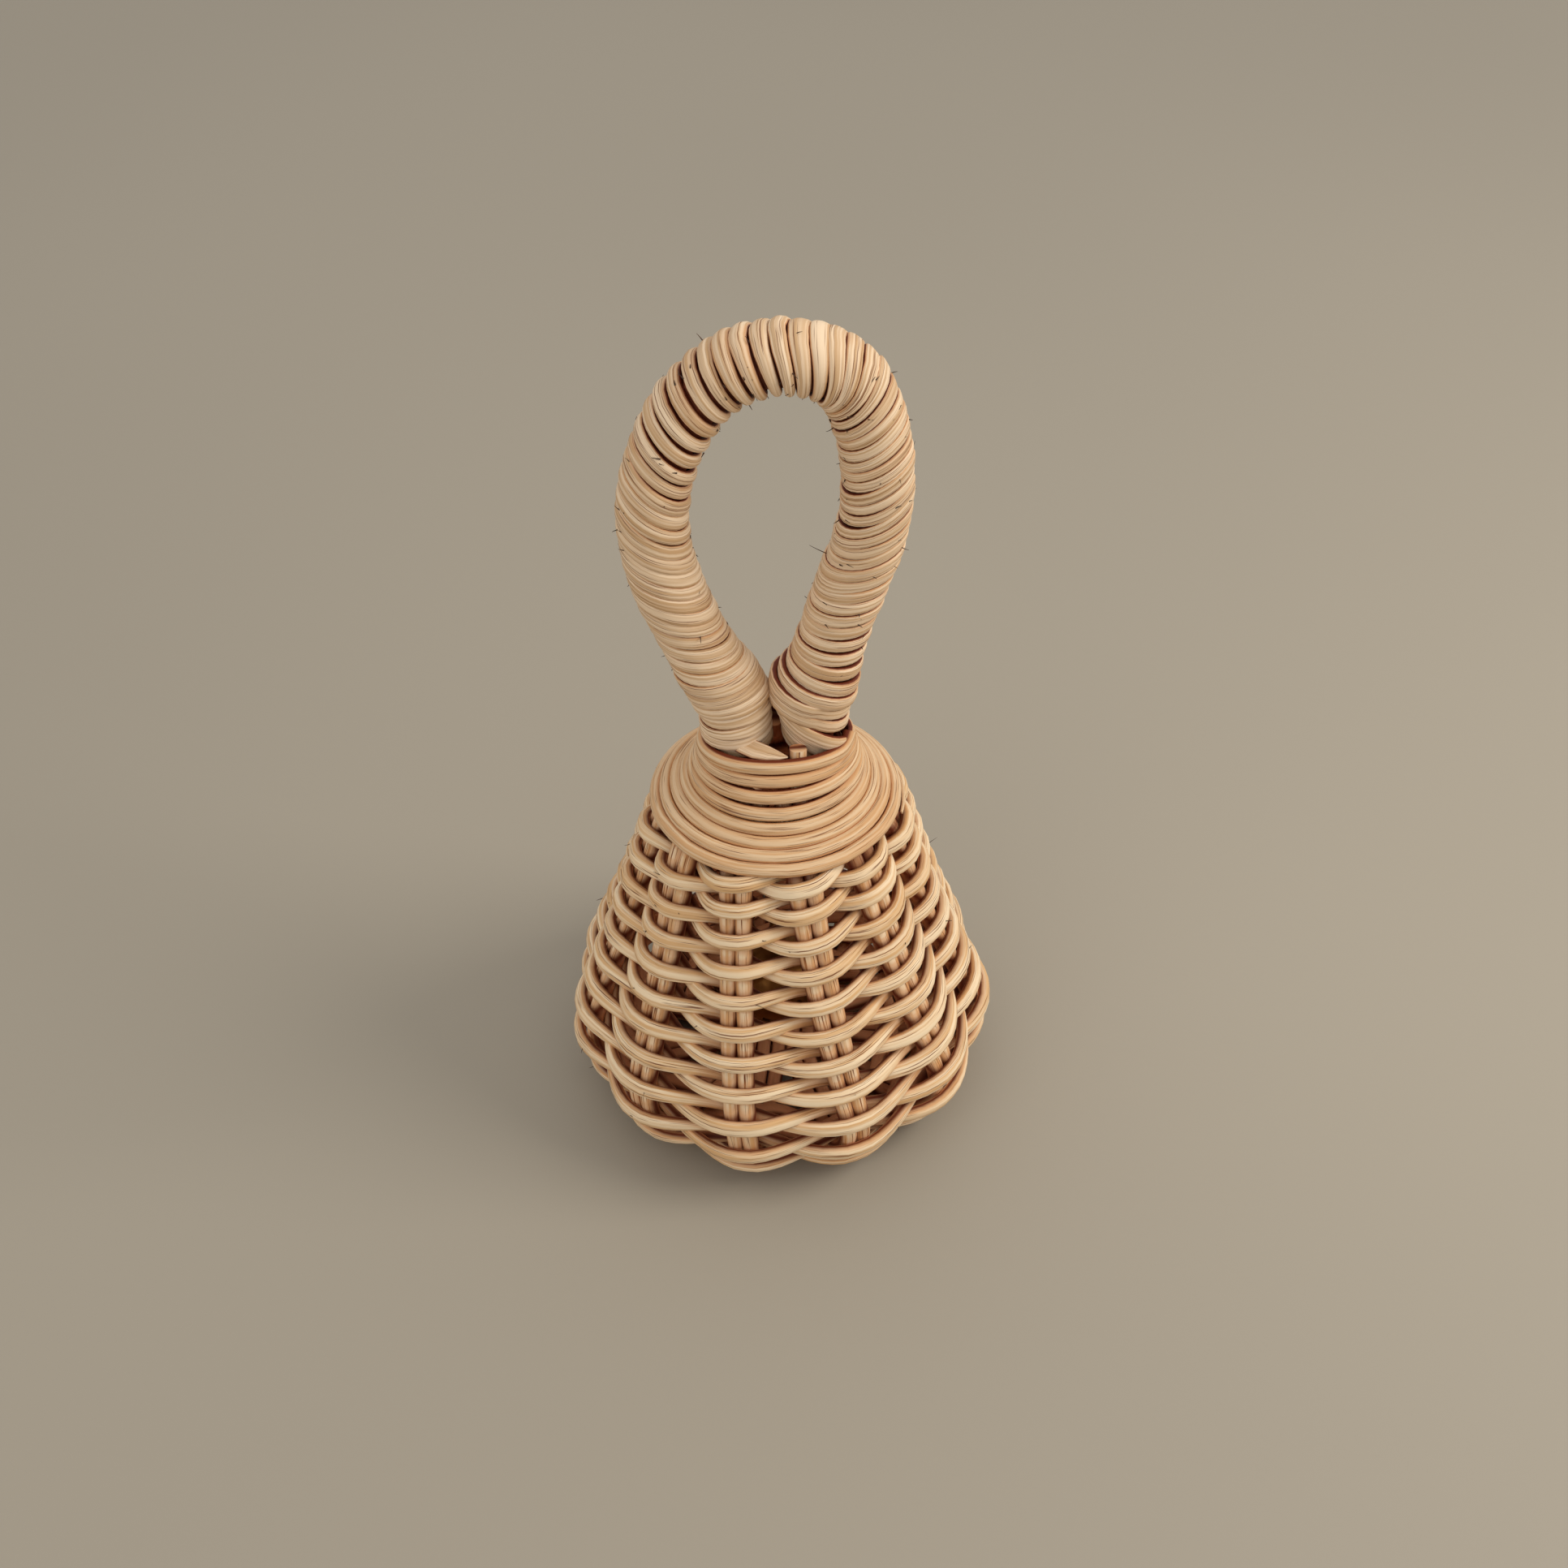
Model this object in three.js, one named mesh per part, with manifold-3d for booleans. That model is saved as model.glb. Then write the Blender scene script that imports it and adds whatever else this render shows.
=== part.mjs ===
// A wicker baby rattle: a pear-shaped cage of rattan reeds with a wrapped finger loop and a bell inside.
// Millimetres, +Z up. The rattle stands on the underside of its weave at z = 0, and its loop faces -Y.
import * as THREE from "three";
import { mergeVertices } from "three/addons/utils/BufferGeometryUtils.js";
import Module from "manifold-3d";

const wasm = await Module();
wasm.setup();

// Clearance between pieces that touch on the real rattle
const CLEARANCE = 0.3;

// Stakes: eleven long reeds that cross under the base, whose ends rise in pairs
const REEDS_ALONG_X = 6;
const REEDS_ALONG_Y = 5;
const REED_D = 2.4;
const REED_SIDES = 5;
const FIRST_PAIR_DEG = -2.9;
const LEAN_DEG = 10;
const LEAN_END_DEPTH = 15.6;
const STAKE_TOP_DEPTH = 6.8;
const NECK_EASE = 0.2;

// Line of the stakes: a domed base, a round corner, then points up the wall as shares of the way
// from the neck's radius out to the belly's and from the belly's height up to the collar's top
const CORNER_R = 10.5;
const BASE_DOME = 1.5;
const BELLY_STAKE_R = 34.3;
const WALL_LINE = [
  [0.98, 0.063],
  [0.903, 0.142],
  [0.756, 0.286],
  [0.59, 0.466],
  [0.443, 0.649],
  [0.358, 0.739],
  [0.204, 0.788],
  [0.122, 0.818],
  [0.066, 0.856],
  [0.029, 0.897],
  [0, 0.94],
  [0, 1],
];

// The neck is oval, because it holds the handle's two feet side by side
const NECK_FLATTEN = 0.3;
const OVAL_DEPTH = 10.8;

// Weave: two reeds twined round the pairs, each in four lengths, down from the first pair that they pass
const STRANDS = 2;
const LENGTHS_PER_STRAND = 4;
const WEAVER_HEIGHT = 2.5;
const WEAVER_THICKNESS = 2.0;
const WEAVER_SIDES = 6;
const LEVEL_PITCH = 5.7;
const WEAVE_START_R = 17.5;
const FOOT_FLAT = 0.5;
const SPAN_MARGIN = 0.6;
const WEAVE_TOP_GAP = 0.65;
const WEAVE_FIRST_PAIR = -6;

// Collar: one reed coiled round the gathered stakes
const COLLAR_REED_D = 1.8;
const COLLAR_GAP = 0.5;
const COLLAR_LOOPS = 8;
const COLLAR_STEPS = 20;
const COLLAR_SIDES = 6;
const COLLAR_TOP_Z = 76.8;

// Handle: a bent core under a rattan strip, with points as x and height above the collar
const CORE_R = 4.2;
const CORE_FOOT_R = 4.8;
const CORE_END_R = 3.6;
const CORE_SIDES = 9;
const CORE_STEPS = 42;
const CORE_END_DEPTH = 10.8;
const CORE_SEAT_DEPTH = 3.8;
const CORE_FOOT_RISE = 9;
const CORE_SLIM_RISE = 19;
const HANDLE_LINE = [
  [-6.15, 2.2],
  [-6.85, 4.7],
  [-8.4, 8.6],
  [-11.4, 14.8],
  [-16, 26.4],
  [-18.4, 38.6],
  [-17, 49.4],
  [-12.4, 59.8],
  [-5, 66.5],
  [3.4, 67.9],
  [10.4, 64.8],
  [14.1, 57.3],
  [15.5, 45.4],
  [14.4, 36.8],
  [11.8, 28],
  [8.7, 17],
  [6.9, 8.6],
  [6.3, 4.7],
  [5.9, 2.2],
];
const WRAP_THICKNESS = 1.1;
const WRAP_PITCH = 2.7;
const WRAP_GAP = 0.66;
const WRAP_STEPS = 8;

// Bell: two pressed halves round a loose pellet, lying on the base
const BELL_R = 8.6;
const BELL_WALL = 0.7;
const BELL_LIP = 0.8;
const BELL_TILT_DEG = 62;
const BELL_TURN_DEG = 200;
const BELL_SEGMENTS = 20;
const BELL_ARC_STEPS = 5;
const SLOT_LENGTH = 11;
const SLOT_WIDTH = 1.5;
const LOOP_R = 2.1;
const LOOP_WIRE_R = 0.6;
const LOOP_SIDES = 6;
const LOOP_SEGMENTS = 12;
const PELLET_R = 2.6;
const PELLET_DETAIL = 1;

// How finely curves are followed and points are joined
const LINE_SAMPLES = 600;
const CORNER_STEPS = 4;
const COLLAR_SEEK = 0.002;
const MERGE_DISTANCE = 1e-4;

// Sizes that follow from those above
const DEGREE = Math.PI / 180;
const PAIRS = REEDS_ALONG_X + REEDS_ALONG_Y;
const REED_PITCH = REED_D + CLEARANCE;
const PAIR_ANGLE = (2 * Math.PI) / PAIRS;
const NECK_STAKE_R = REED_PITCH / (2 * Math.sin(PAIR_ANGLE / 4)) + NECK_EASE;
const WEAVE_OFFSET = REED_D / 2 + CLEARANCE + WEAVER_THICKNESS / 2;
const CREST = WEAVE_OFFSET + WEAVER_THICKNESS / 2;
const BASE_Z = CREST - FOOT_FLAT;
const BELLY_Z = BASE_Z + CORNER_R;
const STAKE_TOP_Z = COLLAR_TOP_Z - STAKE_TOP_DEPTH;
const TWINE_RISE = (WEAVER_HEIGHT + CLEARANCE) / 2;
const HALF_SPAN = REED_PITCH / 2 + REED_D / 2 + SPAN_MARGIN;
const COLLAR_OFFSET = REED_D / 2 + CLEARANCE + COLLAR_REED_D / 2;
const COLLAR_PITCH = COLLAR_REED_D + COLLAR_GAP;
const MOUTH_R = NECK_STAKE_R + COLLAR_OFFSET - COLLAR_REED_D / 2;
const FOOT_R = (CORE_END_R + CLEARANCE) / Math.cos(Math.PI / WRAP_STEPS) + WRAP_THICKNESS;
const SEAT_X = MOUTH_R - CLEARANCE - FOOT_R;

const materials = {
  reed: new THREE.MeshStandardMaterial({ color: 0xcdb187, roughness: 0.75 }),
  strip: new THREE.MeshStandardMaterial({ color: 0xd8c09a, roughness: 0.7 }),
  core: new THREE.MeshStandardMaterial({ color: 0xb08d5f, roughness: 0.8 }),
  bell: new THREE.MeshStandardMaterial({ color: 0xb9a06a, roughness: 0.35, metalness: 1 }),
};

const rattle = new THREE.Group();
rattle.name = "wicker_baby_rattle";

function addPiece(name, geometry, material) {
  const mesh = new THREE.Mesh(geometry, material);
  mesh.name = name;
  rattle.add(mesh);
}

// Closed tubes through rings of points

function signedVolume(points, triangles) {
  let volume = 0;
  for (let i = 0; i < triangles.length; i += 3) {
    const [a, b, c] = [points[triangles[i]], points[triangles[i + 1]], points[triangles[i + 2]]];
    volume += a.dot(b.clone().cross(c)) / 6;
  }
  return volume;
}

function loft(rings) {
  const sides = rings[0].length;
  const points = rings.flat();
  const triangles = [];
  for (let ring = 0; ring + 1 < rings.length; ring++) {
    for (let side = 0; side < sides; side++) {
      const a = ring * sides + side;
      const b = ring * sides + ((side + 1) % sides);
      triangles.push(a, b, b + sides, a, b + sides, a + sides);
    }
  }
  const last = (rings.length - 1) * sides;
  for (let side = 1; side + 1 < sides; side++) {
    triangles.push(0, side + 1, side, last, last + side, last + side + 1);
  }
  if (signedVolume(points, triangles) < 0) triangles.reverse();
  const geometry = new THREE.BufferGeometry().setFromPoints(points);
  geometry.setIndex(triangles);
  geometry.computeVertexNormals();
  return geometry;
}

// Each stop has a point, the direction that the section's height lies in, and the section itself
function sweepRings(stops) {
  return stops.map(({ point, heightWay, section }, i) => {
    const before = stops[Math.max(i - 1, 0)].point;
    const after = stops[Math.min(i + 1, stops.length - 1)].point;
    const along = after.clone().sub(before).normalize();
    const up = heightWay.clone().addScaledVector(along, -heightWay.dot(along)).normalize();
    const out = new THREE.Vector3().crossVectors(along, up);
    return section.map(([a, b]) => point.clone().addScaledVector(out, a).addScaledVector(up, b));
  });
}

function ovalSection(thickness, height, sides) {
  const section = [];
  for (let side = 0; side < sides; side++) {
    const angle = (2 * Math.PI * (side + 0.5)) / sides;
    section.push([(Math.cos(angle) * thickness) / 2, (Math.sin(angle) * height) / 2]);
  }
  return section;
}

// Smallest distance between rings that lie at least half a turn apart along the tube
function leastSelfGap(rings, stepsPerTurn) {
  const sampled = rings.map((ring, i) => {
    const next = rings[Math.min(i + 1, rings.length - 1)];
    return ring.concat(ring.map((point, side) => point.clone().lerp(next[side], 0.5)));
  });
  let least = Infinity;
  for (let i = 0; i < sampled.length; i++) {
    for (let j = i + Math.floor(stepsPerTurn / 2); j < sampled.length; j++) {
      for (const p of sampled[i]) {
        for (const q of sampled[j]) least = Math.min(least, p.distanceToSquared(q));
      }
    }
  }
  return Math.sqrt(least);
}

// The stakes' line, from the middle of the base out and up to the neck

const stakeLine = new THREE.CurvePath();
const baseR = BELLY_STAKE_R - CORNER_R;
stakeLine.add(
  new THREE.QuadraticBezierCurve(
    new THREE.Vector2(0, BASE_Z + BASE_DOME),
    new THREE.Vector2(baseR / 2, BASE_Z),
    new THREE.Vector2(baseR, BASE_Z),
  ),
);
stakeLine.add(
  new THREE.EllipseCurve(baseR, BELLY_Z, CORNER_R, CORNER_R, -Math.PI / 2, 0, false),
);
const wallPoints = WALL_LINE.map(
  ([out, up]) =>
    new THREE.Vector2(
      THREE.MathUtils.lerp(NECK_STAKE_R, BELLY_STAKE_R, out),
      THREE.MathUtils.lerp(BELLY_Z, COLLAR_TOP_Z, up),
    ),
);
stakeLine.add(new THREE.SplineCurve([new THREE.Vector2(BELLY_STAKE_R, BELLY_Z), ...wallPoints]));
const lineLength = stakeLine.getLength();
const linePoints = stakeLine.getSpacedPoints(LINE_SAMPLES);

function onLine(s) {
  const place = THREE.MathUtils.clamp(s / lineLength, 0, 1) * LINE_SAMPLES;
  const i = Math.min(Math.floor(place), LINE_SAMPLES - 1);
  const [a, b] = [linePoints[i], linePoints[i + 1]];
  const way = b.clone().sub(a).normalize();
  const point = a.clone().lerp(b, place - i);
  return { r: point.x, z: point.y, alongR: way.x, alongZ: way.y };
}

// Distance along the line at which a test on its point first holds
function lineDistance(test) {
  return (linePoints.findIndex(test) / LINE_SAMPLES) * lineLength;
}

function leanAt(z) {
  const leanEndZ = COLLAR_TOP_Z - LEAN_END_DEPTH;
  return -LEAN_DEG * DEGREE * THREE.MathUtils.clamp((z - BELLY_Z) / (leanEndZ - BELLY_Z), 0, 1);
}

// Share of its round depth that the cage keeps from front to back
function ovalAt(z) {
  return 1 - NECK_FLATTEN * THREE.MathUtils.smoothstep(z, COLLAR_TOP_Z - OVAL_DEPTH, COLLAR_TOP_Z);
}

// A place on the cage: pair number u (fractions lie between pairs), distance s, and offsets
function cagePoint(u, s, outward, sideways) {
  const { r, z, alongR, alongZ } = onLine(s);
  const angle = FIRST_PAIR_DEG * DEGREE + u * PAIR_ANGLE + leanAt(z);
  const radial = new THREE.Vector3(Math.cos(angle), Math.sin(angle), 0);
  const tangent = new THREE.Vector3(-Math.sin(angle), Math.cos(angle), 0);
  const point = radial.clone().multiplyScalar(r);
  point.y *= ovalAt(z);
  point.addScaledVector(radial, outward * alongZ);
  point.addScaledVector(tangent, sideways);
  point.z = z - outward * alongR;
  const upLine = radial.clone().multiplyScalar(alongR);
  upLine.z = alongZ;
  return { point, tangent, upLine };
}

// Stakes: the ends of the crossing reeds, counted round the base, are numbered 0 to 21

const openedS = lineDistance((p) => p.x >= WEAVE_START_R - WEAVER_HEIGHT);
const stakeTopS = lineDistance((p) => p.y >= STAKE_TOP_Z);
const stakeStops = [openedS, lineDistance((p) => p.x >= baseR)];
const beltS = stakeStops[1] + (CORNER_R * Math.PI) / 2;
for (let i = 1; i <= CORNER_STEPS; i++) {
  stakeStops.push(stakeStops[1] + ((beltS - stakeStops[1]) * i) / CORNER_STEPS);
}
for (const { y } of wallPoints) {
  if (y < STAKE_TOP_Z - REED_D / 2) stakeStops.push(lineDistance((p) => p.y >= y));
}
stakeStops.push(stakeTopS);
const reedSection = ovalSection(REED_D, REED_D, REED_SIDES);

function stakeEnd(end) {
  const pair = Math.floor(end / 2) - 1;
  const sideways = (end % 2 === 0 ? -REED_PITCH : REED_PITCH) / 2;
  return stakeStops.map((s) => {
    const { point, tangent } = cagePoint(pair, s, 0, sideways);
    return { point, heightWay: tangent, section: reedSection };
  });
}

function crossReed(name, endOut, endBack, offset, alongX) {
  const turn = new THREE.Matrix4().makeRotationZ(FIRST_PAIR_DEG * DEGREE);
  const crossed = alongX ? REEDS_ALONG_Y : REEDS_ALONG_X;
  const straight = ((crossed + 1) / 2) * REED_PITCH;
  const level = BASE_Z + BASE_DOME + (alongX ? 0 : REED_PITCH);
  const crossing = [-straight, straight].map((way) => {
    const point = alongX ? new THREE.Vector3(way, offset, level) : new THREE.Vector3(offset, way, level);
    return point.applyMatrix4(turn);
  });
  const out = stakeEnd(endOut);
  const back = stakeEnd(endBack).reverse();
  for (const stop of back) stop.heightWay.negate();
  const flatWay = crossing[1].clone().sub(crossing[0]);
  const across = new THREE.Vector3(-flatWay.y, flatWay.x, 0).normalize();
  const middle = crossing.map((point) => ({ point, heightWay: across, section: reedSection }));
  addPiece(name, loft(sweepRings([...back, ...middle, ...out])), materials.reed);
}

function makeStakes() {
  const ends = 2 * PAIRS;
  let count = 0;
  const nextName = () => `stake_reed_${String(++count).padStart(2, "0")}`;
  for (let i = 0; i < REEDS_ALONG_X; i++) {
    const offset = (i - (REEDS_ALONG_X - 1) / 2) * REED_PITCH;
    crossReed(nextName(), i, PAIRS + REEDS_ALONG_X - 1 - i, offset, true);
  }
  for (let j = 0; j < REEDS_ALONG_Y; j++) {
    const offset = (j - (REEDS_ALONG_Y - 1) / 2) * REED_PITCH;
    crossReed(nextName(), PAIRS - 1 - j, ends - REEDS_ALONG_Y + j, offset, false);
  }
}

// Solids cut by other solids

function merge(geometry) {
  const bare = geometry.clone();
  bare.deleteAttribute("normal");
  bare.deleteAttribute("uv");
  return mergeVertices(bare, MERGE_DISTANCE);
}

function toManifold(geometry) {
  const merged = merge(geometry);
  const mesh = new wasm.Mesh({
    numProp: 3,
    vertProperties: new Float32Array(merged.attributes.position.array),
    triVerts: new Uint32Array(merged.index.array),
  });
  return new wasm.Manifold(mesh);
}

function fromManifold(solid) {
  const mesh = solid.getMesh();
  const geometry = new THREE.BufferGeometry();
  geometry.setAttribute("position", new THREE.Float32BufferAttribute(mesh.vertProperties, 3));
  geometry.setIndex(Array.from(mesh.triVerts));
  geometry.computeVertexNormals();
  return geometry;
}

function cutFlat(geometry) {
  geometry.computeBoundingBox();
  const box = geometry.boundingBox;
  if (box.min.z >= 0) return geometry;
  const width = 4 * BELLY_STAKE_R;
  const slab = new THREE.BoxGeometry(width, width, CREST).translate(0, 0, -CREST / 2);
  return fromManifold(toManifold(geometry).subtract(toManifold(slab)));
}

// Line of the collar's turns, outside the stakes: distances along the stakes' line for each step of a turn

function collarCentre(s) {
  const { r, z, alongR, alongZ } = onLine(s);
  const sag = r * (1 - Math.cos(Math.PI / COLLAR_STEPS));
  const outward = COLLAR_OFFSET + sag;
  return { outward, place: new THREE.Vector2(r + outward * alongZ, z - outward * alongR) };
}

const collarStops = [lineDistance((p) => p.y >= COLLAR_TOP_Z - COLLAR_REED_D / 2)];
while (collarStops.length <= COLLAR_LOOPS * COLLAR_STEPS) {
  let s = collarStops[collarStops.length - 1];
  const from = collarCentre(s).place;
  while (collarCentre(s).place.distanceTo(from) < COLLAR_PITCH / COLLAR_STEPS) s -= COLLAR_SEEK;
  collarStops.push(s);
}

// Weave: at each pair one strand passes in front and the other behind, and they change over between pairs

const turnsAbove = COLLAR_LOOPS - 1 - WEAVE_FIRST_PAIR / PAIRS;
const collarLowS = collarStops[Math.ceil(turnsAbove * COLLAR_STEPS)];
const weaveTopS = collarLowS - COLLAR_REED_D / 2 - WEAVE_TOP_GAP - TWINE_RISE - WEAVER_HEIGHT / 2;
const weaveLowS = lineDistance((p) => p.x >= WEAVE_START_R);
const weaverSection = ovalSection(
  WEAVER_THICKNESS / Math.cos(Math.PI / WEAVER_SIDES),
  WEAVER_HEIGHT,
  WEAVER_SIDES,
);

function strandStop(strand, pair, part) {
  const s = weaveTopS - (LEVEL_PITCH * (pair + part - WEAVE_FIRST_PAIR)) / PAIRS;
  const front = (pair + strand) % 2 === 0 ? 1 : -1;
  const span = HALF_SPAN / (onLine(s).r * PAIR_ANGLE);
  const { point, upLine } = cagePoint(pair + part * 2 * span, s, front * WEAVE_OFFSET, 0);
  point.addScaledVector(upLine, front * part * 2 * TWINE_RISE);
  return { point, heightWay: upLine, section: weaverSection };
}

// A length starts and ends behind a pair, end to end with the next length of its strand
function makeWeaver(strand, length) {
  const crossings = Math.floor(((weaveTopS - weaveLowS) / LEVEL_PITCH) * PAIRS);
  const behind = (share) => WEAVE_FIRST_PAIR + 2 * Math.round((crossings * share) / 2) - 1 + strand;
  const first = behind(length / LENGTHS_PER_STRAND);
  const last = behind((length + 1) / LENGTHS_PER_STRAND);
  const halfGap = CLEARANCE / (4 * HALF_SPAN);
  const stops = [strandStop(strand, first, halfGap), strandStop(strand, first, 0.5)];
  for (let pair = first + 1; pair < last; pair++) {
    stops.push(strandStop(strand, pair, -0.5), strandStop(strand, pair, 0.5));
  }
  stops.push(strandStop(strand, last, -0.5), strandStop(strand, last, -halfGap));
  const name = `weaver_${"ab"[strand]}_${length + 1}`;
  addPiece(name, cutFlat(loft(sweepRings(stops))), materials.reed);
}

// Collar: turns lie side by side on the stakes, and chords are set out by their sag

function makeCollar() {
  const section = ovalSection(COLLAR_REED_D, COLLAR_REED_D, COLLAR_SIDES);
  const stops = [];
  collarStops.forEach((s, step) => {
    const turns = step / COLLAR_STEPS;
    const { point, upLine } = cagePoint(-turns * PAIRS, s, collarCentre(s).outward, 0);
    stops.push({ point, heightWay: upLine, section });
  });
  const rings = sweepRings(stops);
  console.log("collar_coil: least gap to itself", leastSelfGap(rings, COLLAR_STEPS).toFixed(2), "mm");
  addPiece("collar_coil", loft(rings), materials.reed);
}

// Handle: the core's feet are seated side by side inside the ring of stakes

const FACING = new THREE.Vector3(0, 1, 0);
const seatLow = COLLAR_TOP_Z - CORE_END_DEPTH;
const seatHigh = COLLAR_TOP_Z - CORE_SEAT_DEPTH;
const handleLine = new THREE.CatmullRomCurve3(
  [
    [-SEAT_X, seatLow],
    [-SEAT_X, seatHigh],
    ...HANDLE_LINE.map(([x, height]) => [x, COLLAR_TOP_Z + height]),
    [SEAT_X, seatHigh],
    [SEAT_X, seatLow],
  ].map(([x, z]) => new THREE.Vector3(x, 0, z)),
  false,
  "centripetal",
);
handleLine.arcLengthDivisions = LINE_SAMPLES;
const handleLength = handleLine.getLength();

function coreRadius(z) {
  const swell = THREE.MathUtils.smoothstep(z, COLLAR_TOP_Z, COLLAR_TOP_Z + CORE_FOOT_RISE);
  const slim = THREE.MathUtils.smoothstep(z, COLLAR_TOP_Z + CORE_FOOT_RISE, COLLAR_TOP_Z + CORE_SLIM_RISE);
  return CORE_END_R + (CORE_FOOT_R - CORE_END_R) * swell - (CORE_FOOT_R - CORE_R) * slim;
}

function makeCore() {
  const stops = [];
  for (let step = 0; step <= CORE_STEPS; step++) {
    const point = handleLine.getPointAt(step / CORE_STEPS);
    const across = 2 * coreRadius(point.z);
    stops.push({ point, heightWay: FACING, section: ovalSection(across, across, CORE_SIDES) });
  }
  addPiece("handle_core", loft(sweepRings(stops)), materials.core);
}

// A place on the wrap: distance along the handle, turn angle and height over the strip's underside
function wrapPoint(distance, angle, height) {
  const share = THREE.MathUtils.clamp(distance / handleLength, 0, 1);
  const along = handleLine.getTangentAt(share);
  const out = new THREE.Vector3().crossVectors(along, FACING);
  const point = handleLine.getPointAt(share);
  const radius = (coreRadius(point.z) + CLEARANCE) / Math.cos(Math.PI / WRAP_STEPS) + height;
  point.addScaledVector(out, Math.cos(angle) * radius);
  point.addScaledVector(FACING, Math.sin(angle) * radius);
  return { point, along };
}

function makeWrap() {
  const first = lowestWrap((share) => share);
  const last = handleLength - lowestWrap((share) => 1 - share);
  const turns = Math.floor((last - first) / WRAP_PITCH);
  const stops = [];
  for (let step = 0; step <= turns * WRAP_STEPS; step++) {
    const distance = first + (WRAP_PITCH * step) / WRAP_STEPS;
    const angle = (2 * Math.PI * step) / WRAP_STEPS;
    const depth = WRAP_THICKNESS / 2;
    const { point, along } = wrapPoint(distance, angle, depth);
    const before = wrapPoint(distance - WRAP_PITCH / 2, angle, WRAP_THICKNESS).point;
    const after = wrapPoint(distance + WRAP_PITCH / 2, angle, WRAP_THICKNESS).point;
    const half = (before.distanceTo(after) - WRAP_GAP) / 2;
    const section = [
      [depth, -half],
      [depth, half],
      [-depth, half],
      [-depth, -half],
    ];
    stops.push({ point, heightWay: along, section });
  }
  const rings = sweepRings(stops);
  console.log("handle_wrap: least gap to itself", leastSelfGap(rings, WRAP_STEPS).toFixed(2), "mm");
  addPiece("handle_wrap", loft(rings), materials.strip);
}

// Distance from an end of the core at which the first turn clears the tops of the stakes
function lowestWrap(shareFrom) {
  const clearZ = STAKE_TOP_Z + WRAP_PITCH + CLEARANCE;
  for (let i = 0; i < LINE_SAMPLES; i++) {
    const share = i / LINE_SAMPLES;
    if (handleLine.getPointAt(shareFrom(share)).z >= clearZ) return share * handleLength;
  }
  return handleLength / 2;
}

// Bell: made upright about its middle, then laid on the crossing of the base

const bellFloor = BASE_Z + BASE_DOME + REED_PITCH + REED_D / 2;
const lipReach = (BELL_R + BELL_LIP) * Math.sin(BELL_TILT_DEG * DEGREE);
const lipEdge = (CLEARANCE / 2 + BELL_WALL) * Math.cos(BELL_TILT_DEG * DEGREE);
const bellZ = bellFloor + CLEARANCE + Math.max(BELL_R, lipReach + lipEdge);

function layBell(geometry) {
  geometry.rotateX(BELL_TILT_DEG * DEGREE);
  geometry.rotateZ(BELL_TURN_DEG * DEGREE);
  return geometry.translate(0, 0, bellZ);
}

function bellHalf(sign) {
  const seam = CLEARANCE / 2;
  const lip = BELL_LIP + BELL_R;
  const arc = (radius, from, to) => {
    const points = [];
    for (let i = 0; i <= BELL_ARC_STEPS; i++) {
      const angle = from + ((to - from) * i) / BELL_ARC_STEPS;
      points.push(new THREE.Vector2(radius * Math.cos(angle), radius * Math.sin(angle)));
    }
    return points;
  };
  const lipAngle = Math.asin((seam + BELL_WALL) / BELL_R);
  const seamAngle = Math.asin(seam / (BELL_R - BELL_WALL));
  const outer = arc(BELL_R, Math.PI / 2, lipAngle);
  const inner = arc(BELL_R - BELL_WALL, seamAngle, Math.PI / 2);
  const rim = [new THREE.Vector2(lip, seam + BELL_WALL), new THREE.Vector2(lip, seam)];
  const outline = [...outer, ...rim, ...inner];
  outline[0].x = 0;
  outline[outline.length - 1].x = 0;
  const half = new THREE.LatheGeometry(outline, BELL_SEGMENTS);
  return facingOut(merge(half).rotateX((sign * Math.PI) / 2));
}

function facingOut(geometry) {
  const position = geometry.attributes.position;
  const points = [];
  for (let i = 0; i < position.count; i++) points.push(new THREE.Vector3().fromBufferAttribute(position, i));
  const corners = Array.from(geometry.index.array);
  const triangles = [];
  for (let i = 0; i < corners.length; i += 3) {
    const [a, b, c] = corners.slice(i, i + 3);
    if (a !== b && b !== c && a !== c) triangles.push(a, b, c);
  }
  if (signedVolume(points, triangles) < 0) triangles.reverse();
  geometry.setIndex(triangles);
  return geometry;
}

function makeBell() {
  const ring = new THREE.TorusGeometry(LOOP_R, LOOP_WIRE_R, LOOP_SIDES, LOOP_SEGMENTS);
  ring.rotateX(Math.PI / 2).translate(0, 0, BELL_R + LOOP_R);
  const crown = toManifold(bellHalf(1)).add(toManifold(ring));
  addPiece("bell_crown", layBell(fromManifold(crown)), materials.bell);

  let skirt = toManifold(bellHalf(-1));
  for (const turn of [0, Math.PI / 2]) {
    const slot = new THREE.BoxGeometry(SLOT_LENGTH, SLOT_WIDTH, BELL_R);
    slot.translate(0, 0, -BELL_R).rotateZ(turn);
    skirt = skirt.subtract(toManifold(slot));
  }
  addPiece("bell_skirt", layBell(fromManifold(skirt)), materials.bell);

  const pellet = new THREE.IcosahedronGeometry(PELLET_R, PELLET_DETAIL);
  const pelletZ = bellZ - (BELL_R - BELL_WALL) + PELLET_R + CLEARANCE;
  addPiece("bell_pellet", merge(pellet).translate(0, 0, pelletZ), materials.bell);
}

makeStakes();
for (let strand = 0; strand < STRANDS; strand++) {
  for (let length = 0; length < LENGTHS_PER_STRAND; length++) makeWeaver(strand, length);
}
makeCollar();
makeCore();
makeWrap();
makeBell();

// The rattle's box is centred over the origin
const box = new THREE.Box3().setFromObject(rattle);
const middle = box.getCenter(new THREE.Vector3());
for (const mesh of rattle.children) mesh.geometry.translate(-middle.x, -middle.y, 0);

export default rattle;
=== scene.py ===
"""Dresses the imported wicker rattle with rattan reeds, wrap strips, a bell and a stage."""

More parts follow.
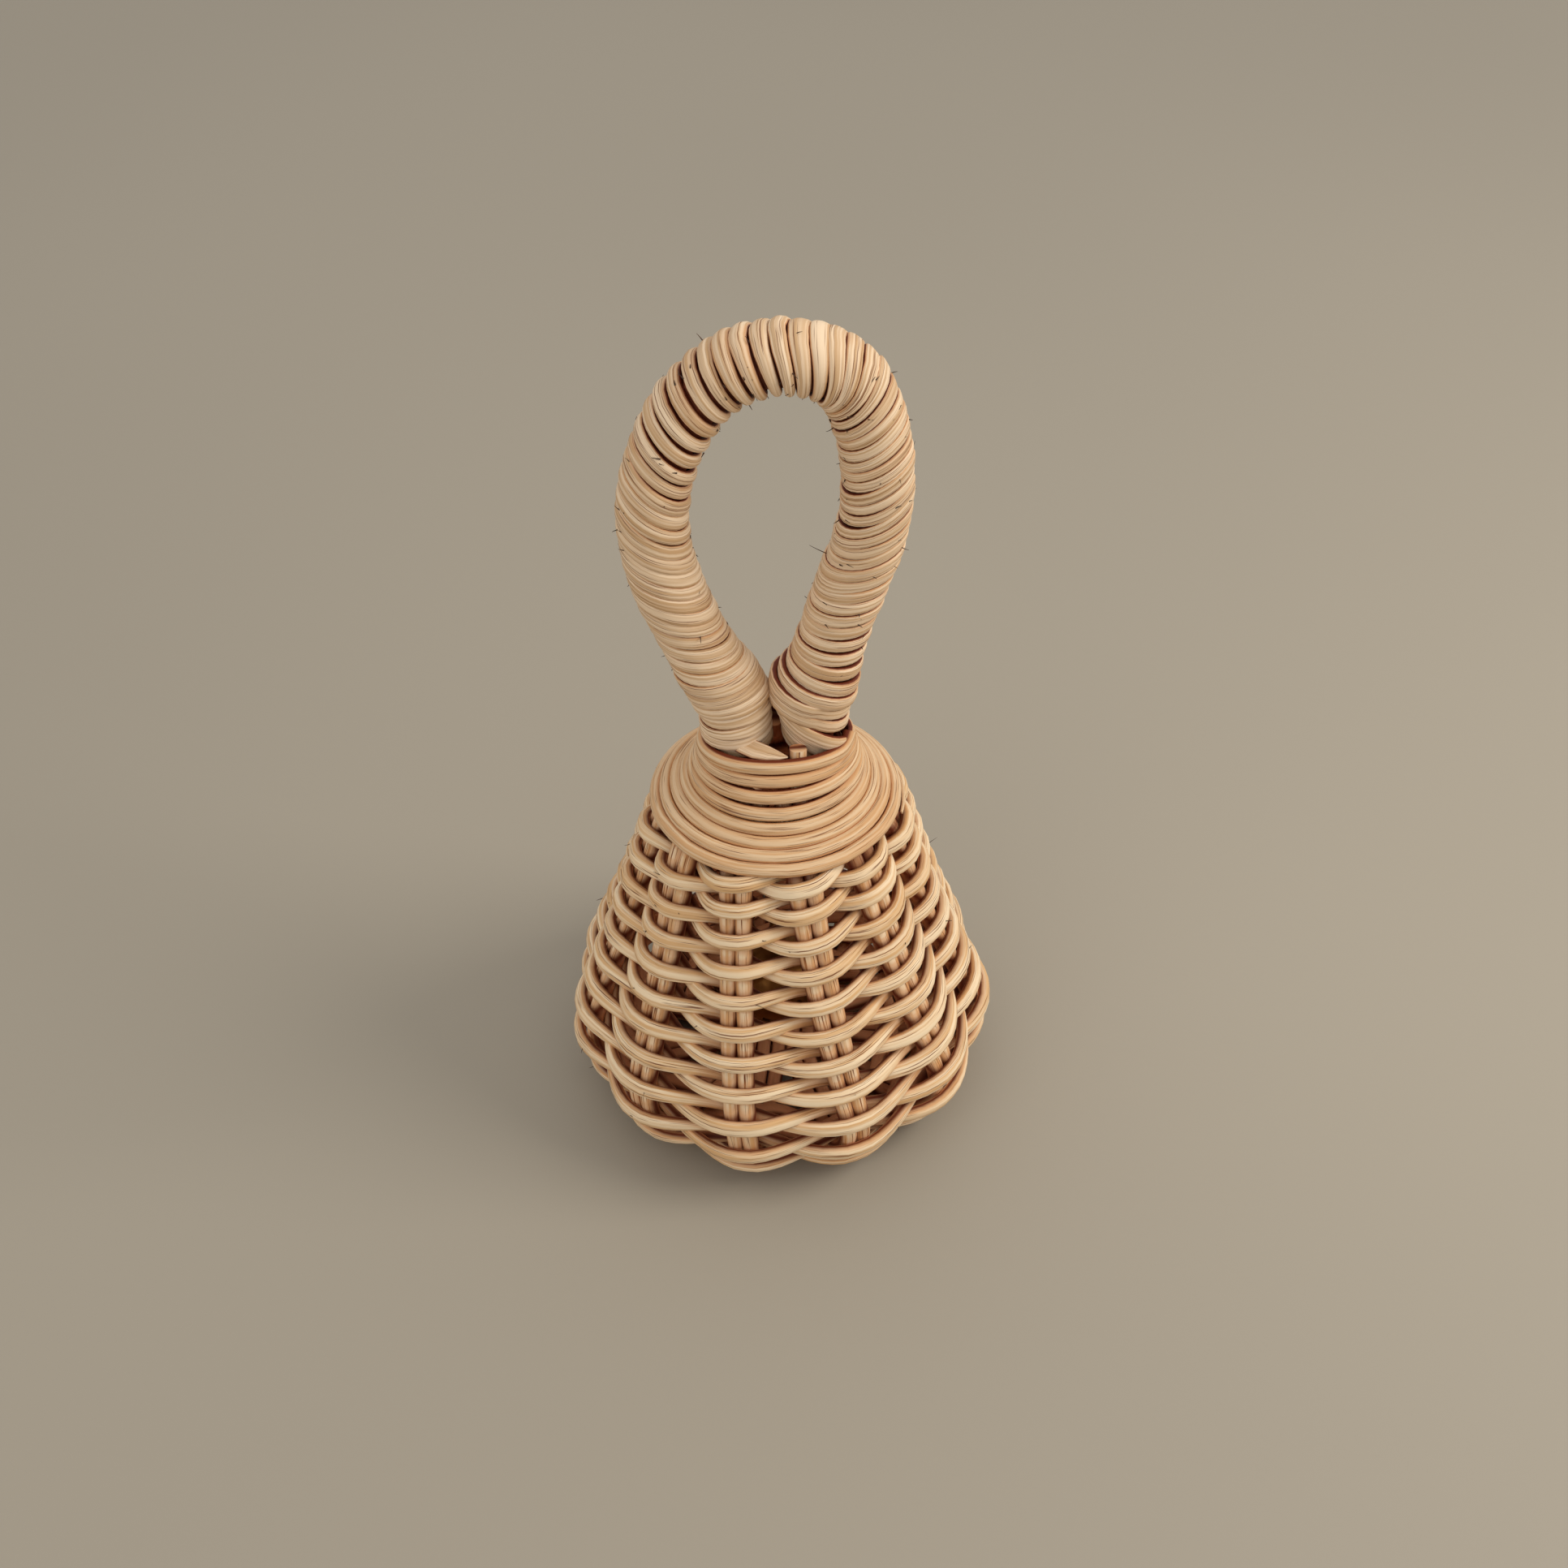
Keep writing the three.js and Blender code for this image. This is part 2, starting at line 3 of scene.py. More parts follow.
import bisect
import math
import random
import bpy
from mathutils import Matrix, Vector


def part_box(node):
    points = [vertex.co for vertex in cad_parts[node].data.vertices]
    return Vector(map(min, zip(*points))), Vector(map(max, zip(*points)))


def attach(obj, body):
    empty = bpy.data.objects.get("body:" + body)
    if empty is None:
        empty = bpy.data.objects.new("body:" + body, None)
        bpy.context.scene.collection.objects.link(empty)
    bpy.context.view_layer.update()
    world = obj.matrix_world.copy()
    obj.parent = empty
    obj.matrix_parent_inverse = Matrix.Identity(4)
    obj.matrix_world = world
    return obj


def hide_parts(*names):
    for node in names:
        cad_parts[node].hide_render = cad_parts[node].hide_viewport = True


bl_info = {
    "name": "Wicker Baby Rattle",
    "version": (1, 0, 0),
    "blender": (4, 5, 0),
    "location": "3D View > Sidebar > Rattle",
    "description": "Lays the reeds, wraps the handle, presses the bell and sets the stage",
    "category": "Object",
}

from collections import namedtuple

import bmesh
import bpy
from mathutils import Color, Matrix, Vector, noise

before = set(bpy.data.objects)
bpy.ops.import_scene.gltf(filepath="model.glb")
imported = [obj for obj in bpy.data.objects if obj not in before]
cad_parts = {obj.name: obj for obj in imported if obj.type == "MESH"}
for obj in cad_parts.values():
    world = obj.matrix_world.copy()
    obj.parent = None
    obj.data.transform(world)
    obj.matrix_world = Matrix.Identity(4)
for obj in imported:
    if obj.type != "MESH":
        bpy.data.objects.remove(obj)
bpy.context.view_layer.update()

# Lengths below are in millimetres, as in the part's source, and turn into metres as points are placed
MM = 0.001
DEGREE = math.pi / 180
TURN = 2 * math.pi

# The cage's axis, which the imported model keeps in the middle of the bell's pellet
PELLET_LOW, PELLET_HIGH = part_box("bell_pellet")
AXIS = Vector(((PELLET_LOW.x + PELLET_HIGH.x) / 2, (PELLET_LOW.y + PELLET_HIGH.y) / 2, 0)) / MM

# Stakes and the line that they follow. Its wall goes by shares of the way from neck to belly
# and of the height from belly to collar top
REEDS_ALONG_X = 6
REEDS_ALONG_Y = 5
PAIRS = REEDS_ALONG_X + REEDS_ALONG_Y
PAIR_ANGLE = TURN / PAIRS
REED_PITCH = 2.7
FIRST_PAIR = -2.9 * DEGREE
LEAN = 10 * DEGREE
COLLAR_TOP_Z = 76.8
LEAN_END_Z = COLLAR_TOP_Z - 15.6
STAKE_TOP_Z = COLLAR_TOP_Z - 6.8
OVAL_START_Z = COLLAR_TOP_Z - 10.8
NECK_FLATTEN = 0.3
NECK_R = REED_PITCH / (2 * math.sin(PAIR_ANGLE / 4)) + 0.2
CORNER_R = 10.5
BELLY_R = 34.3
BASE_R = BELLY_R - CORNER_R
BASE_DOME = 1.5
BASE_Z = 3.0
BELLY_Z = BASE_Z + CORNER_R
CROSSING_TOP_Z = 9.0
BASE_SLIM = 0.08
WALL_LINE = [
    (1.0, 0.0),
    (0.98, 0.063),
    (0.903, 0.142),
    (0.756, 0.286),
    (0.59, 0.466),
    (0.443, 0.649),
    (0.358, 0.739),
    (0.204, 0.788),
    (0.122, 0.818),
    (0.066, 0.856),
    (0.029, 0.897),
    (0.0, 0.94),
    (0.0, 1.0),
]

# The end of one front stake reaches up into the collar's mouth
TALL_END = 21
TALL_END_Z = 76.7

# Weave, collar and handle
STRANDS = 2
LENGTHS_PER_STRAND = 4
WEAVE_OFFSET = 2.5
WEAVER_HEIGHT = 2.5
TWINE_RISE = 1.4
TWIST = 1.1
DIP = 0.65
TUCKED_PAIRS = 8
TUCKED_PITCH = 3.9
LEVEL_PITCH = 5.7
WEAVE_START_R = 17.5
WEAVE_TOP_GAP = 0.65
WEAVE_FIRST_PAIR = -6
COLLAR_LOOPS = 8
COLLAR_PITCH = 2.3
COLLAR_OFFSET = 2.4
COLLAR_REED_R = 0.9
SEAT_X = 5.57
CORE_R = 4.2
CORE_FOOT_R = 4.8
CORE_END_R = 3.6
CORE_END_DEPTH = 10.8
CORE_SEAT_DEPTH = 3.8
CORE_FOOT_RISE = 9
CORE_SLIM_RISE = 19
WRAP_LOW_Z = 73.0
HANDLE_LINE = [
    (-6.15, 2.2),
    (-6.85, 4.7),
    (-8.4, 8.6),
    (-11.4, 14.8),
    (-16, 26.4),
    (-18.4, 38.6),
    (-17, 49.4),
    (-12.4, 59.8),
    (-5, 66.5),
    (3.4, 67.9),
    (10.4, 64.8),
    (14.1, 57.3),
    (15.5, 45.4),
    (14.4, 36.8),
    (11.8, 28),
    (8.7, 17),
    (6.9, 8.6),
    (6.3, 4.7),
    (5.9, 2.2),
]

# Along the handle from the left foot to the right: share of the length, pitch, gap between turns,
# lean and shingle roll in degrees, and crown
WRAP_TABLE = [
    (0.00, 2.4, -0.05, -12, 4, 0.05),
    (0.06, 2.5, -0.05, 4, 4, 0.05),
    (0.12, 2.6, 0.05, 24, 4, 0.05),
    (0.20, 2.8, 0.05, 34, 3, 0.08),
    (0.28, 3.0, 0.1, 34, 2, 0.14),
    (0.36, 3.0, 0.35, 24, 0, 0.30),
    (0.42, 2.85, 0.75, 12, 0, 0.42),
    (0.47, 2.75, 0.8, -4, 0, 0.42),
    (0.52, 2.6, 0.55, -22, 0, 0.34),
    (0.57, 2.2, 0.1, -30, 3, 0.15),
    (0.63, 1.9, -0.05, -28, 5, 0.03),
    (0.70, 2.0, -0.05, -36, 5, 0.0),
    (0.76, 2.3, 0.0, -40, 4, 0.0),
    (0.84, 2.5, 0.0, -24, 3, 0.05),
    (0.91, 2.7, 0.0, 4, 3, 0.05),
    (1.00, 2.7, 0.0, 34, 2, 0.05),
]

# The strip's first end, tucked into the mouth in front of the left foot: place and width
STRIP_TAIL = [
    (-7.0, -3.4, 76.0, 3.0),
    (-5.2, -4.9, 76.1, 3.2),
    (-3.4, -6.0, 76.0, 3.2),
    (-1.4, -6.7, 75.8, 2.6),
    (0.4, -7.1, 75.6, 1.5),
    (1.7, -7.3, 75.5, 0.3),
]

# Bell
BELL_R = 8.6
BELL_WALL = 0.7
BELL_LIP = 0.8
BELL_SEAM = 0.15
BELL_TILT = 62 * DEGREE
BELL_FACING = 200 * DEGREE
BELL_Z = (PELLET_LOW.z + PELLET_HIGH.z) / 2 / MM + 5.0
SLOT_LENGTH = 11
SLOT_WIDTH = 1.5
LOOP_R = 2.1
LOOP_WIRE_R = 0.6

LINE_STEPS = 24
WEAVE_STEPS = 10
REED_SIDES = 14
ROUND_REED = 0.85
FLAT_REED = 0.72
EDGE_START = 0.6
EDGE_DROP = 0.42
EDGE_SHADE = 0.95

# Where each kind of reed starts along the grain, in millimetres, so that no two look alike
STAKE_GRAIN = 300.0
WEAVER_GRAIN = 5000.0
STRAND_GRAIN = 1700.0
LENGTH_GRAIN = 400.0
COLLAR_GRAIN = 9000.0
CORE_GRAIN = 12000.0
STRIP_GRAIN = 15000.0
TAIL_GRAIN = 17000.0

BASKET = "basket"
REED_MAP = "reed_length"
LIGHT_SHARE = "light_share"

Stop = namedtuple("Stop", "point out thick wide roll tone crown", defaults=(0.0,))


def length_property(name, description, millimetres):
    metres = millimetres * MM
    return bpy.props.FloatProperty(name=name, description=description, default=metres, unit="LENGTH")


class ReedSizes(bpy.types.PropertyGroup):
    """Sections of the reeds and strips"""

    stake_d: length_property("Stake", "Diameter of a stake reed", 2.9)
    weaver_height: length_property("Weaver height", "Height of a weaver's oval section", 2.65)
    weaver_thickness: length_property("Weaver thickness", "Depth of a weaver's oval section", 2.05)
    collar_d: length_property("Collar reed", "Diameter of the reed coiled round the neck", 2.34)
    strip_thickness: length_property("Strip", "Thickness of the strip wrapped round the handle", 1.15)
    hair_r: length_property("Fibre", "Radius of a loose fibre at its root", 0.09)


def colour_property(name, description, default):
    return bpy.props.FloatVectorProperty(
        name=name, description=description, default=default, subtype="COLOR_GAMMA", size=3, min=0, max=1
    )


class RattanColours(bpy.types.PropertyGroup):
    """Colours of the rattan, the bell and the floor"""

    pale: colour_property("Pale", "Light face of a reed", (0.945, 0.85, 0.71))
    honey: colour_property("Honey", "Darker bands along a reed", (0.84, 0.67, 0.47))
    collar_pale: colour_property("Collar", "Light face of the collar's reed", (0.87, 0.75, 0.60))
    collar_honey: colour_property("Collar bands", "Darker bands of the collar's reed", (0.80, 0.62, 0.43))
    strip_pale: colour_property("Strip", "Light face of the handle's strip", (0.935, 0.83, 0.70))
    strip_honey: colour_property("Strip bands", "Darker bands along the strip", (0.79, 0.64, 0.47))
    brown: colour_property("Fibre lines", "Fine lines along the grain", (0.46, 0.25, 0.11))
    # Painted shade: a warm half-shade where a reed turns away from the light
    warm_shade: colour_property("Warm shade", "Warm tone where a reed turns away", (0.82, 0.56, 0.33))
    # Painted shade: dark brown on the flanks of the reeds that the light never reaches
    flank_shade: colour_property("Painted flank shade", "Hidden flanks of the reeds", (0.42, 0.16, 0.05))
    # Painted shade on the sides of the reeds that face into the cage, kept light and warm to stand in for
    # the light bounced inside it
    inner: colour_property("Painted inner shade", "Sides of the reeds that face into the cage", (0.93, 0.66, 0.46))
    hair: colour_property("Loose fibres", "Dry fibres that stand off the strips", (0.19, 0.12, 0.07))
    brass: colour_property("Bell", "Dull brass of the bell", (0.60, 0.42, 0.22))
    floor: colour_property("Floor", "Pale floor under the rattle", (0.635, 0.60, 0.54))


def power_property(name, description, default):
    return bpy.props.FloatProperty(name=name, description=description, default=default)


class StageLook(bpy.types.PropertyGroup):
    """Lights of the stage"""

    key: power_property("Key light", "Power of the light from the right", 2.8)
    fill: power_property("Fill light", "Power of the light from the front", 0.8)
    sky: power_property("Sky", "Strength of the light from all round", 0.72)


# Smooth lines


def smooth_line(points, power, per_span):
    """A line through the points; power 0 spaces its knots evenly and 0.5 by distance."""
    line = []
    last = len(points) - 1
    for i in range(last):
        b, c = points[i], points[i + 1]
        a = points[i - 1] if i > 0 else 2 * b - c
        d = points[i + 2] if i + 2 <= last else 2 * c - b
        before, here, after = [(q - p).length ** power for p, q in ((a, b), (b, c), (c, d))]
        leave = ((b - a) / before - (c - a) / (before + here) + (c - b) / here) * here
        arrive = ((c - b) / here - (d - b) / (here + after) + (d - c) / after) * here
        for k in range(per_span):
            t = k / per_span
            curve = b * (2 * t**3 - 3 * t**2 + 1) + leave * (t**3 - 2 * t**2 + t)
            line.append(curve + c * (3 * t**2 - 2 * t**3) + arrive * (t**3 - t**2))
    line.append(points[-1].copy())
    return line


class MeasuredLine:
    """A line of points that can be read by the distance along it."""

    def __init__(self, points):
        self.points = points
        self.marks = [0.0]
        for a, b in zip(points, points[1:]):
            self.marks.append(self.marks[-1] + (b - a).length)
        self.length = self.marks[-1]

    def at(self, distance):
        i = bisect.bisect_right(self.marks, distance) - 1
        i = max(0, min(i, len(self.points) - 2))
        a, b = self.points[i], self.points[i + 1]
        share = (distance - self.marks[i]) / (self.marks[i + 1] - self.marks[i])
        return a.lerp(b, max(0.0, min(share, 1.0))), (b - a).normalized()

    def where(self, test):
        """Distance at which a test on the point first holds."""
        return next(m for p, m in zip(self.points, self.marks) if test(p))


def make_stake_line():
    points = []
    for k in range(LINE_STEPS):
        t = k / LINE_STEPS
        points.append(Vector((t * BASE_R, BASE_Z + BASE_DOME * (1 - t) ** 2)))
    for k in range(LINE_STEPS):
        angle = math.pi / 2 * k / LINE_STEPS
        out, up = math.sin(angle), 1 - math.cos(angle)
        points.append(Vector((BASE_R + CORNER_R * out, BASE_Z + CORNER_R * up)))
    reach, rise = BELLY_R - NECK_R, COLLAR_TOP_Z - BELLY_Z
    wall = [Vector((NECK_R + reach * out, BELLY_Z + rise * up)) for out, up in WALL_LINE]
    return MeasuredLine(points + smooth_line(wall, 0, LINE_STEPS))


def make_handle_line():
    low = COLLAR_TOP_Z - CORE_END_DEPTH
    high = COLLAR_TOP_Z - CORE_SEAT_DEPTH
    middle = [(x, COLLAR_TOP_Z + height) for x, height in HANDLE_LINE]
    places = [(-SEAT_X, low), (-SEAT_X, high), *middle, (SEAT_X, high), (SEAT_X, low)]
    return MeasuredLine(smooth_line([Vector((x, 0, z)) for x, z in places], 0.5, LINE_STEPS))


STAKE_LINE = make_stake_line()
HANDLE = make_handle_line()
CagePlace = namedtuple("CagePlace", "point tangent up out")


def ease(value, low, high):
    """0 below low, 1 above high and a smooth change between."""
    share = max(0.0, min((value - low) / (high - low), 1.0))
    return share * share * (3 - 2 * share)


def cage_place(u, s, outward=0.0, sideways=0.0):
    """A place on the cage: pair number u, distance s up the stakes' line, and offsets from it."""
    at, way = STAKE_LINE.at(s)
    lean = -LEAN * max(0.0, min((at.y - BELLY_Z) / (LEAN_END_Z - BELLY_Z), 1.0))
    angle = FIRST_PAIR + u * PAIR_ANGLE + lean
    radial = Vector((math.cos(angle), math.sin(angle), 0))
    tangent = Vector((-math.sin(angle), math.cos(angle), 0))
    up = Vector((radial.x * way.x, radial.y * way.x, way.y))
    out = Vector((radial.x * way.y, radial.y * way.y, -way.x))
    oval = 1 - NECK_FLATTEN * ease(at.y, OVAL_START_Z, COLLAR_TOP_Z)
    point = Vector((radial.x * at.x, radial.y * at.x * oval, at.y)) + out * outward + tangent * sideways
    return CagePlace(point, tangent, up, out)


def collar_line_place(s):
    at, way = STAKE_LINE.at(s)
    return Vector((at.x + COLLAR_OFFSET * way.y, at.y - COLLAR_OFFSET * way.x))


def make_collar_steps(per_turn):
    """Distances along the stakes' line of the coil's steps, which lie evenly along the coil's own line."""
    top = STAKE_LINE.where(lambda p: p.y >= COLLAR_TOP_Z - COLLAR_REED_R)
    seek = 0.05
    tries = [top - seek * k for k in range(round(top / seek / 2))]
    line = MeasuredLine([collar_line_place(s) for s in tries])
    steps = []
    for k in range(COLLAR_LOOPS * per_turn + 1):
        wanted = COLLAR_PITCH * k / per_turn
        i = bisect.bisect_left(line.marks, wanted)
        over = line.marks[i] - wanted
        steps.append(tries[i] + over)
    return steps


def find_weave_top():
    """Distance up the stakes' line of the weave's highest level, just under the collar."""
    per_turn = 20
    above = math.ceil((COLLAR_LOOPS - 1 - WEAVE_FIRST_PAIR / PAIRS) * per_turn)
    collar_low = make_collar_steps(per_turn)[above]
    return collar_low - COLLAR_REED_R - WEAVE_TOP_GAP - TWINE_RISE - WEAVER_HEIGHT / 2


WEAVE_TOP = find_weave_top()


# Tubes bent out of a grid


def oval_outline(roundness):
    """A round or flattened section: depth, width and how much of the light each point gets."""
    outline = []
    for k in range(REED_SIDES):
        # The seam lies at the back, where it doesn't show
        angle = TURN * k / REED_SIDES + math.pi
        depth, width = math.cos(angle), math.sin(angle)
        flat = [math.copysign(abs(value) ** roundness / 2, value) for value in (depth, width)]
        outline.append((*flat, 0.5 + 0.5 * depth))
    return outline


def strip_outline():
    """A flat strip with rounded edges, from its underside round over the face."""
    outline = [(0.0, 0.0, 0.0), (0.0, -0.30, 0.0), (0.10, -0.47, 0.0)]
    for b in (-1.0, -0.93, -0.8, -0.45, 0.0, 0.45, 0.8, 0.93, 1.0):
        edge = max(0.0, abs(b) - EDGE_START) / (1 - EDGE_START)
        outline.append((1 - EDGE_DROP * edge**3, b / 2, 1 - EDGE_SHADE * edge**4))
    return outline + [(0.10, 0.47, 0.0), (0.0, 0.30, 0.0)]


def lay_tube(bm, stops, outline, start=0.0):
    """Bends a grid into a closed tube through the stops, with its length in millimetres in the UV map."""
    uv = bm.loops.layers.uv.get(REED_MAP) or bm.loops.layers.uv.new(REED_MAP)
    light_share = bm.verts.layers.float.get(LIGHT_SHARE) or bm.verts.layers.float.new(LIGHT_SHARE)
    steps, sides = len(stops) - 1, len(outline)
    frames, marks = [], [start]
    for i, stop in enumerate(stops):
        before, after = stops[max(i - 1, 0)].point, stops[min(i + 1, steps)].point
        along = (after - before).normalized()
        out = (stop.out - along * stop.out.dot(along)).normalized()
        across = along.cross(out)
        turned = out * math.cos(stop.roll) + across * math.sin(stop.roll)
        frames.append((stop.point + AXIS, turned * stop.thick, along.cross(turned) * stop.wide, stop))
        if i:
            marks.append(marks[-1] + (stop.point - before).length)
    made = bmesh.ops.create_grid(bm, x_segments=steps, y_segments=sides, size=1, calc_uvs=True)["verts"]
    seam = []
    for vert in made:
        i = round((vert.co.x + 1) / 2 * steps)
        j = round((vert.co.y + 1) / 2 * sides)
        if j in (0, sides):
            seam.append(vert)
        depth, width, light = outline[j % sides]
        point, out, across, stop = frames[i]
        place = point + out * depth * (1 - stop.crown * (2 * width) ** 2) + across * width
        vert.co = Vector((place.x, place.y, max(place.z, 0.0))) * MM
        # Share of light at each point, from which the painted shade is drawn: the section's side times the
        # stop's tone
        vert[light_share] = light * stop.tone
    faces = {face for vert in made for face in vert.link_faces}
    for face in faces:
        for loop in face.loops:
            u, v = loop[uv].uv
            loop[uv].uv = (marks[round(u * steps)], v)
    bmesh.ops.remove_doubles(bm, verts=seam, dist=1e-8)
    edges = {edge for face in faces if face.is_valid for edge in face.edges}
    ends = [edge for edge in edges if edge.is_boundary]
    bmesh.ops.edgeloop_fill(bm, edges=ends)
    for edge in ends:
        edge.smooth = False


def add_object(name, data):
    thing = bpy.data.objects.new(name, data)
    bpy.context.scene.collection.objects.link(thing)
    return thing


def add_mesh(name, bm):
    mesh = bpy.data.meshes.new(name)
    bm.to_mesh(mesh)
    bm.free()
    return add_object(name, mesh)


def finish_piece(bm, name, material, slot, body, *nodes):
    """Turns a bmesh into a piece that rides on a body and stands for CAD nodes."""
    bmesh.ops.recalc_face_normals(bm, faces=bm.faces)
    for face in bm.faces:
        face.smooth = True
    piece = add_mesh(name, bm)
    piece.data.materials.append(material)
    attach(piece, body)
    if nodes:
        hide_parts(*nodes)
    return piece


# A small smooth change along a reed: its seed, how fast it changes and its size
Waver = namedtuple("Waver", "seed rate size")


def wander(waver, place, reed=0):
    """The change at a place along one of the reeds, the same on each run."""
    seed = waver.seed + reed
    return waver.size * noise.noise(Vector((place * waver.rate, seed * 7.31, seed * 1.7)))


# Materials


def linear(colour):
    return (*Color(colour).from_srgb_to_scene_linear(), 1.0)


def add_node(tree, kind, **settings):
    node = tree.nodes.new(kind)
    for key, value in settings.items():
        setattr(node, key, value)
    return node


def wire(tree, socket, value):
    """Links a socket to another node's output, or sets its value."""
    if isinstance(value, bpy.types.NodeSocket):
        tree.links.new(value, socket)
    else:
        socket.default_value = value


def add_group(tree, group, values):
    node = add_node(tree, "ShaderNodeGroup", node_tree=group)
    for label, value in values.items():
        wire(tree, node.inputs[label], value)
    return node


def do_math(tree, operation, *values):
    node = add_node(tree, "ShaderNodeMath", operation=operation)
    for socket, value in zip(node.inputs, values):
        wire(tree, socket, value)
    return node.outputs[0]


def ramp(tree, value, low, high, to_low=0.0, to_high=1.0):
    node = add_node(tree, "ShaderNodeMapRange", interpolation_type="SMOOTHSTEP")
    for socket, part in zip(node.inputs, (value, low, high, to_low, to_high)):
        wire(tree, socket, part)
    return node.outputs[0]


def mix_colour(tree, factor, a, b):
    """A mix of two colours, whose sockets come after those for numbers and vectors."""
    node = add_node(tree, "ShaderNodeMix", data_type="RGBA")
    wire(tree, node.inputs[0], factor)
    wire(tree, node.inputs[6], a)
    wire(tree, node.inputs[7], b)
    return node.outputs[2]


def add_noise(tree, vector, scale, detail=2.0):
    node = add_node(tree, "ShaderNodeTexNoise")
    wire(tree, node.inputs["Vector"], vector)
    node.inputs["Scale"].default_value = scale
    node.inputs["Detail"].default_value = detail
    return node.outputs["Fac"]


def new_group(name, inputs, outputs):
    """A node group, whose inputs and outputs are given as labels by kind of socket."""
    group = bpy.data.node_groups.new(name, "ShaderNodeTree")
    for in_out, sockets in (("INPUT", inputs), ("OUTPUT", outputs)):
        for kind, labels in sockets.items():
            for label in labels:
                group.interface.new_socket(label, in_out=in_out, socket_type=kind)
    return group, add_node(group, "NodeGroupInput"), add_node(group, "NodeGroupOutput")


FLOAT, COLOUR = "NodeSocketFloat", "NodeSocketColor"
GRAIN_STRETCH = 0.018
TONE_STRETCH = 0.02
WARM_SHADE_REACH = 0.18

# A rattan's name, its colours by name (light face, bands, painted shade of the far side), how strong its
# fibre lines are, and between which shares of light its painted shade goes from full to none
GrainShade = namedtuple("GrainShade", "name pale honey hidden lines dark_below clean_above")
STAKE_GRAIN_SHADE = GrainShade("stake_rattan", "pale", "honey", "inner", 1.4, 0.34, 0.74)
WEAVER_GRAIN_SHADE = GrainShade("weaver_rattan", "pale", "honey", "inner", 0.9, 0.31, 0.55)
COLLAR_GRAIN_SHADE = GrainShade("collar_rattan", "collar_pale", "collar_honey", "flank_shade", 0.8, 0.50, 0.68)
# Painted shade all over the core: its thresholds lie above any share of light, so it takes the flank shade
# colour
CORE_GRAIN_SHADE = GrainShade("core_rattan", "honey", "brown", "flank_shade", 0.9, 1.1, 2.2)
STRIP_GRAIN_SHADE = GrainShade("strip_rattan", "strip_pale", "strip_honey", "flank_shade", 0.85, 0.25, 0.72)


def rattan_grain():
    """Bands, fine fibre lines and slow changes of tone along a reed."""
    if "rattan_grain" in bpy.data.node_groups:
        return bpy.data.node_groups["rattan_grain"]
    group, given, result = new_group(
        "rattan_grain",
        {FLOAT: ("Along", "Around", "Lines"), COLOUR: ("Pale", "Honey", "Brown")},
        {COLOUR: ("Color",), FLOAT: ("Height", "Roughness")},
    )
    angle = do_math(group, "MULTIPLY", given.outputs["Around"], TURN)
    place = add_node(group, "ShaderNodeCombineXYZ")
    wire(group, place.inputs[0], do_math(group, "MULTIPLY", given.outputs["Along"], GRAIN_STRETCH))
    wire(group, place.inputs[1], do_math(group, "COSINE", angle))
    wire(group, place.inputs[2], do_math(group, "SINE", angle))
    slow = add_node(group, "ShaderNodeCombineXYZ")
    wire(group, slow.inputs[0], do_math(group, "MULTIPLY", given.outputs["Along"], TONE_STRETCH))
    bands = add_noise(group, place.outputs[0], 2.2, 1.5)
    lines = add_noise(group, place.outputs[0], 6.5, 2.0)
    tone = add_noise(group, slow.outputs[0], 1.0, 2.0)
    pale, honey, brown = [given.outputs[label] for label in ("Pale", "Honey", "Brown")]
    banded = mix_colour(group, ramp(group, bands, 0.36, 0.68), pale, honey)
    toned = mix_colour(group, ramp(group, tone, 0.45, 0.75, 0.0, 0.55), banded, honey)
    fine = do_math(group, "MULTIPLY", ramp(group, lines, 0.56, 0.70), given.outputs["Lines"])
    groove = do_math(group, "MULTIPLY", fine, 0.6)
    wire(group, result.inputs["Color"], mix_colour(group, fine, toned, brown))
    wire(group, result.inputs["Height"], do_math(group, "SUBTRACT", bands, groove))
    wire(group, result.inputs["Roughness"], ramp(group, lines, 0.3, 0.7, 0.50, 0.72))
    return group


def painted_shade():
    """Painted shade: a warm half-shade and then brown towards the flanks of a reed that never see the
    light, and the hidden side's colour where the least light falls.
    """
    if "painted_shade" in bpy.data.node_groups:
        return bpy.data.node_groups["painted_shade"]
    group, given, result = new_group(
        "painted_shade",
        {COLOUR: ("Color", "Warm shade", "Flank shade", "Inner shade"), FLOAT: ("Light share", "Dark below", "Clean above")},
        {COLOUR: ("Color",)},
    )
    light_share, dark, unshaded = [given.outputs[label] for label in ("Light share", "Dark below", "Clean above")]
    # Painted warm half-shade where the share of light falls just below the unshaded share
    warm_shade_share = ramp(group, light_share, unshaded, do_math(group, "ADD", unshaded, WARM_SHADE_REACH), 0.5, 0.0)
    half_shaded = mix_colour(group, warm_shade_share, given.outputs["Color"], given.outputs["Warm shade"])
    share = ramp(group, light_share, dark, unshaded, 1.0, 0.0)
    flank_shaded = mix_colour(group, share, half_shaded, given.outputs["Flank shade"])
    behind = ramp(group, light_share, 0.04, dark, 1.0, 0.0)
    wire(group, result.inputs["Color"], mix_colour(group, behind, flank_shaded, given.outputs["Inner shade"]))
    return group


def new_material(name):
    material = bpy.data.materials.new(name)
    material.use_nodes = True
    return material, material.node_tree, material.node_tree.nodes["Principled BSDF"]


def add_bump(tree, shader, height, strength, distance):
    bump = add_node(tree, "ShaderNodeBump")
    bump.inputs["Strength"].default_value = strength
    bump.inputs["Distance"].default_value = distance
    wire(tree, bump.inputs["Height"], height)
    wire(tree, shader.inputs["Normal"], bump.outputs[0])


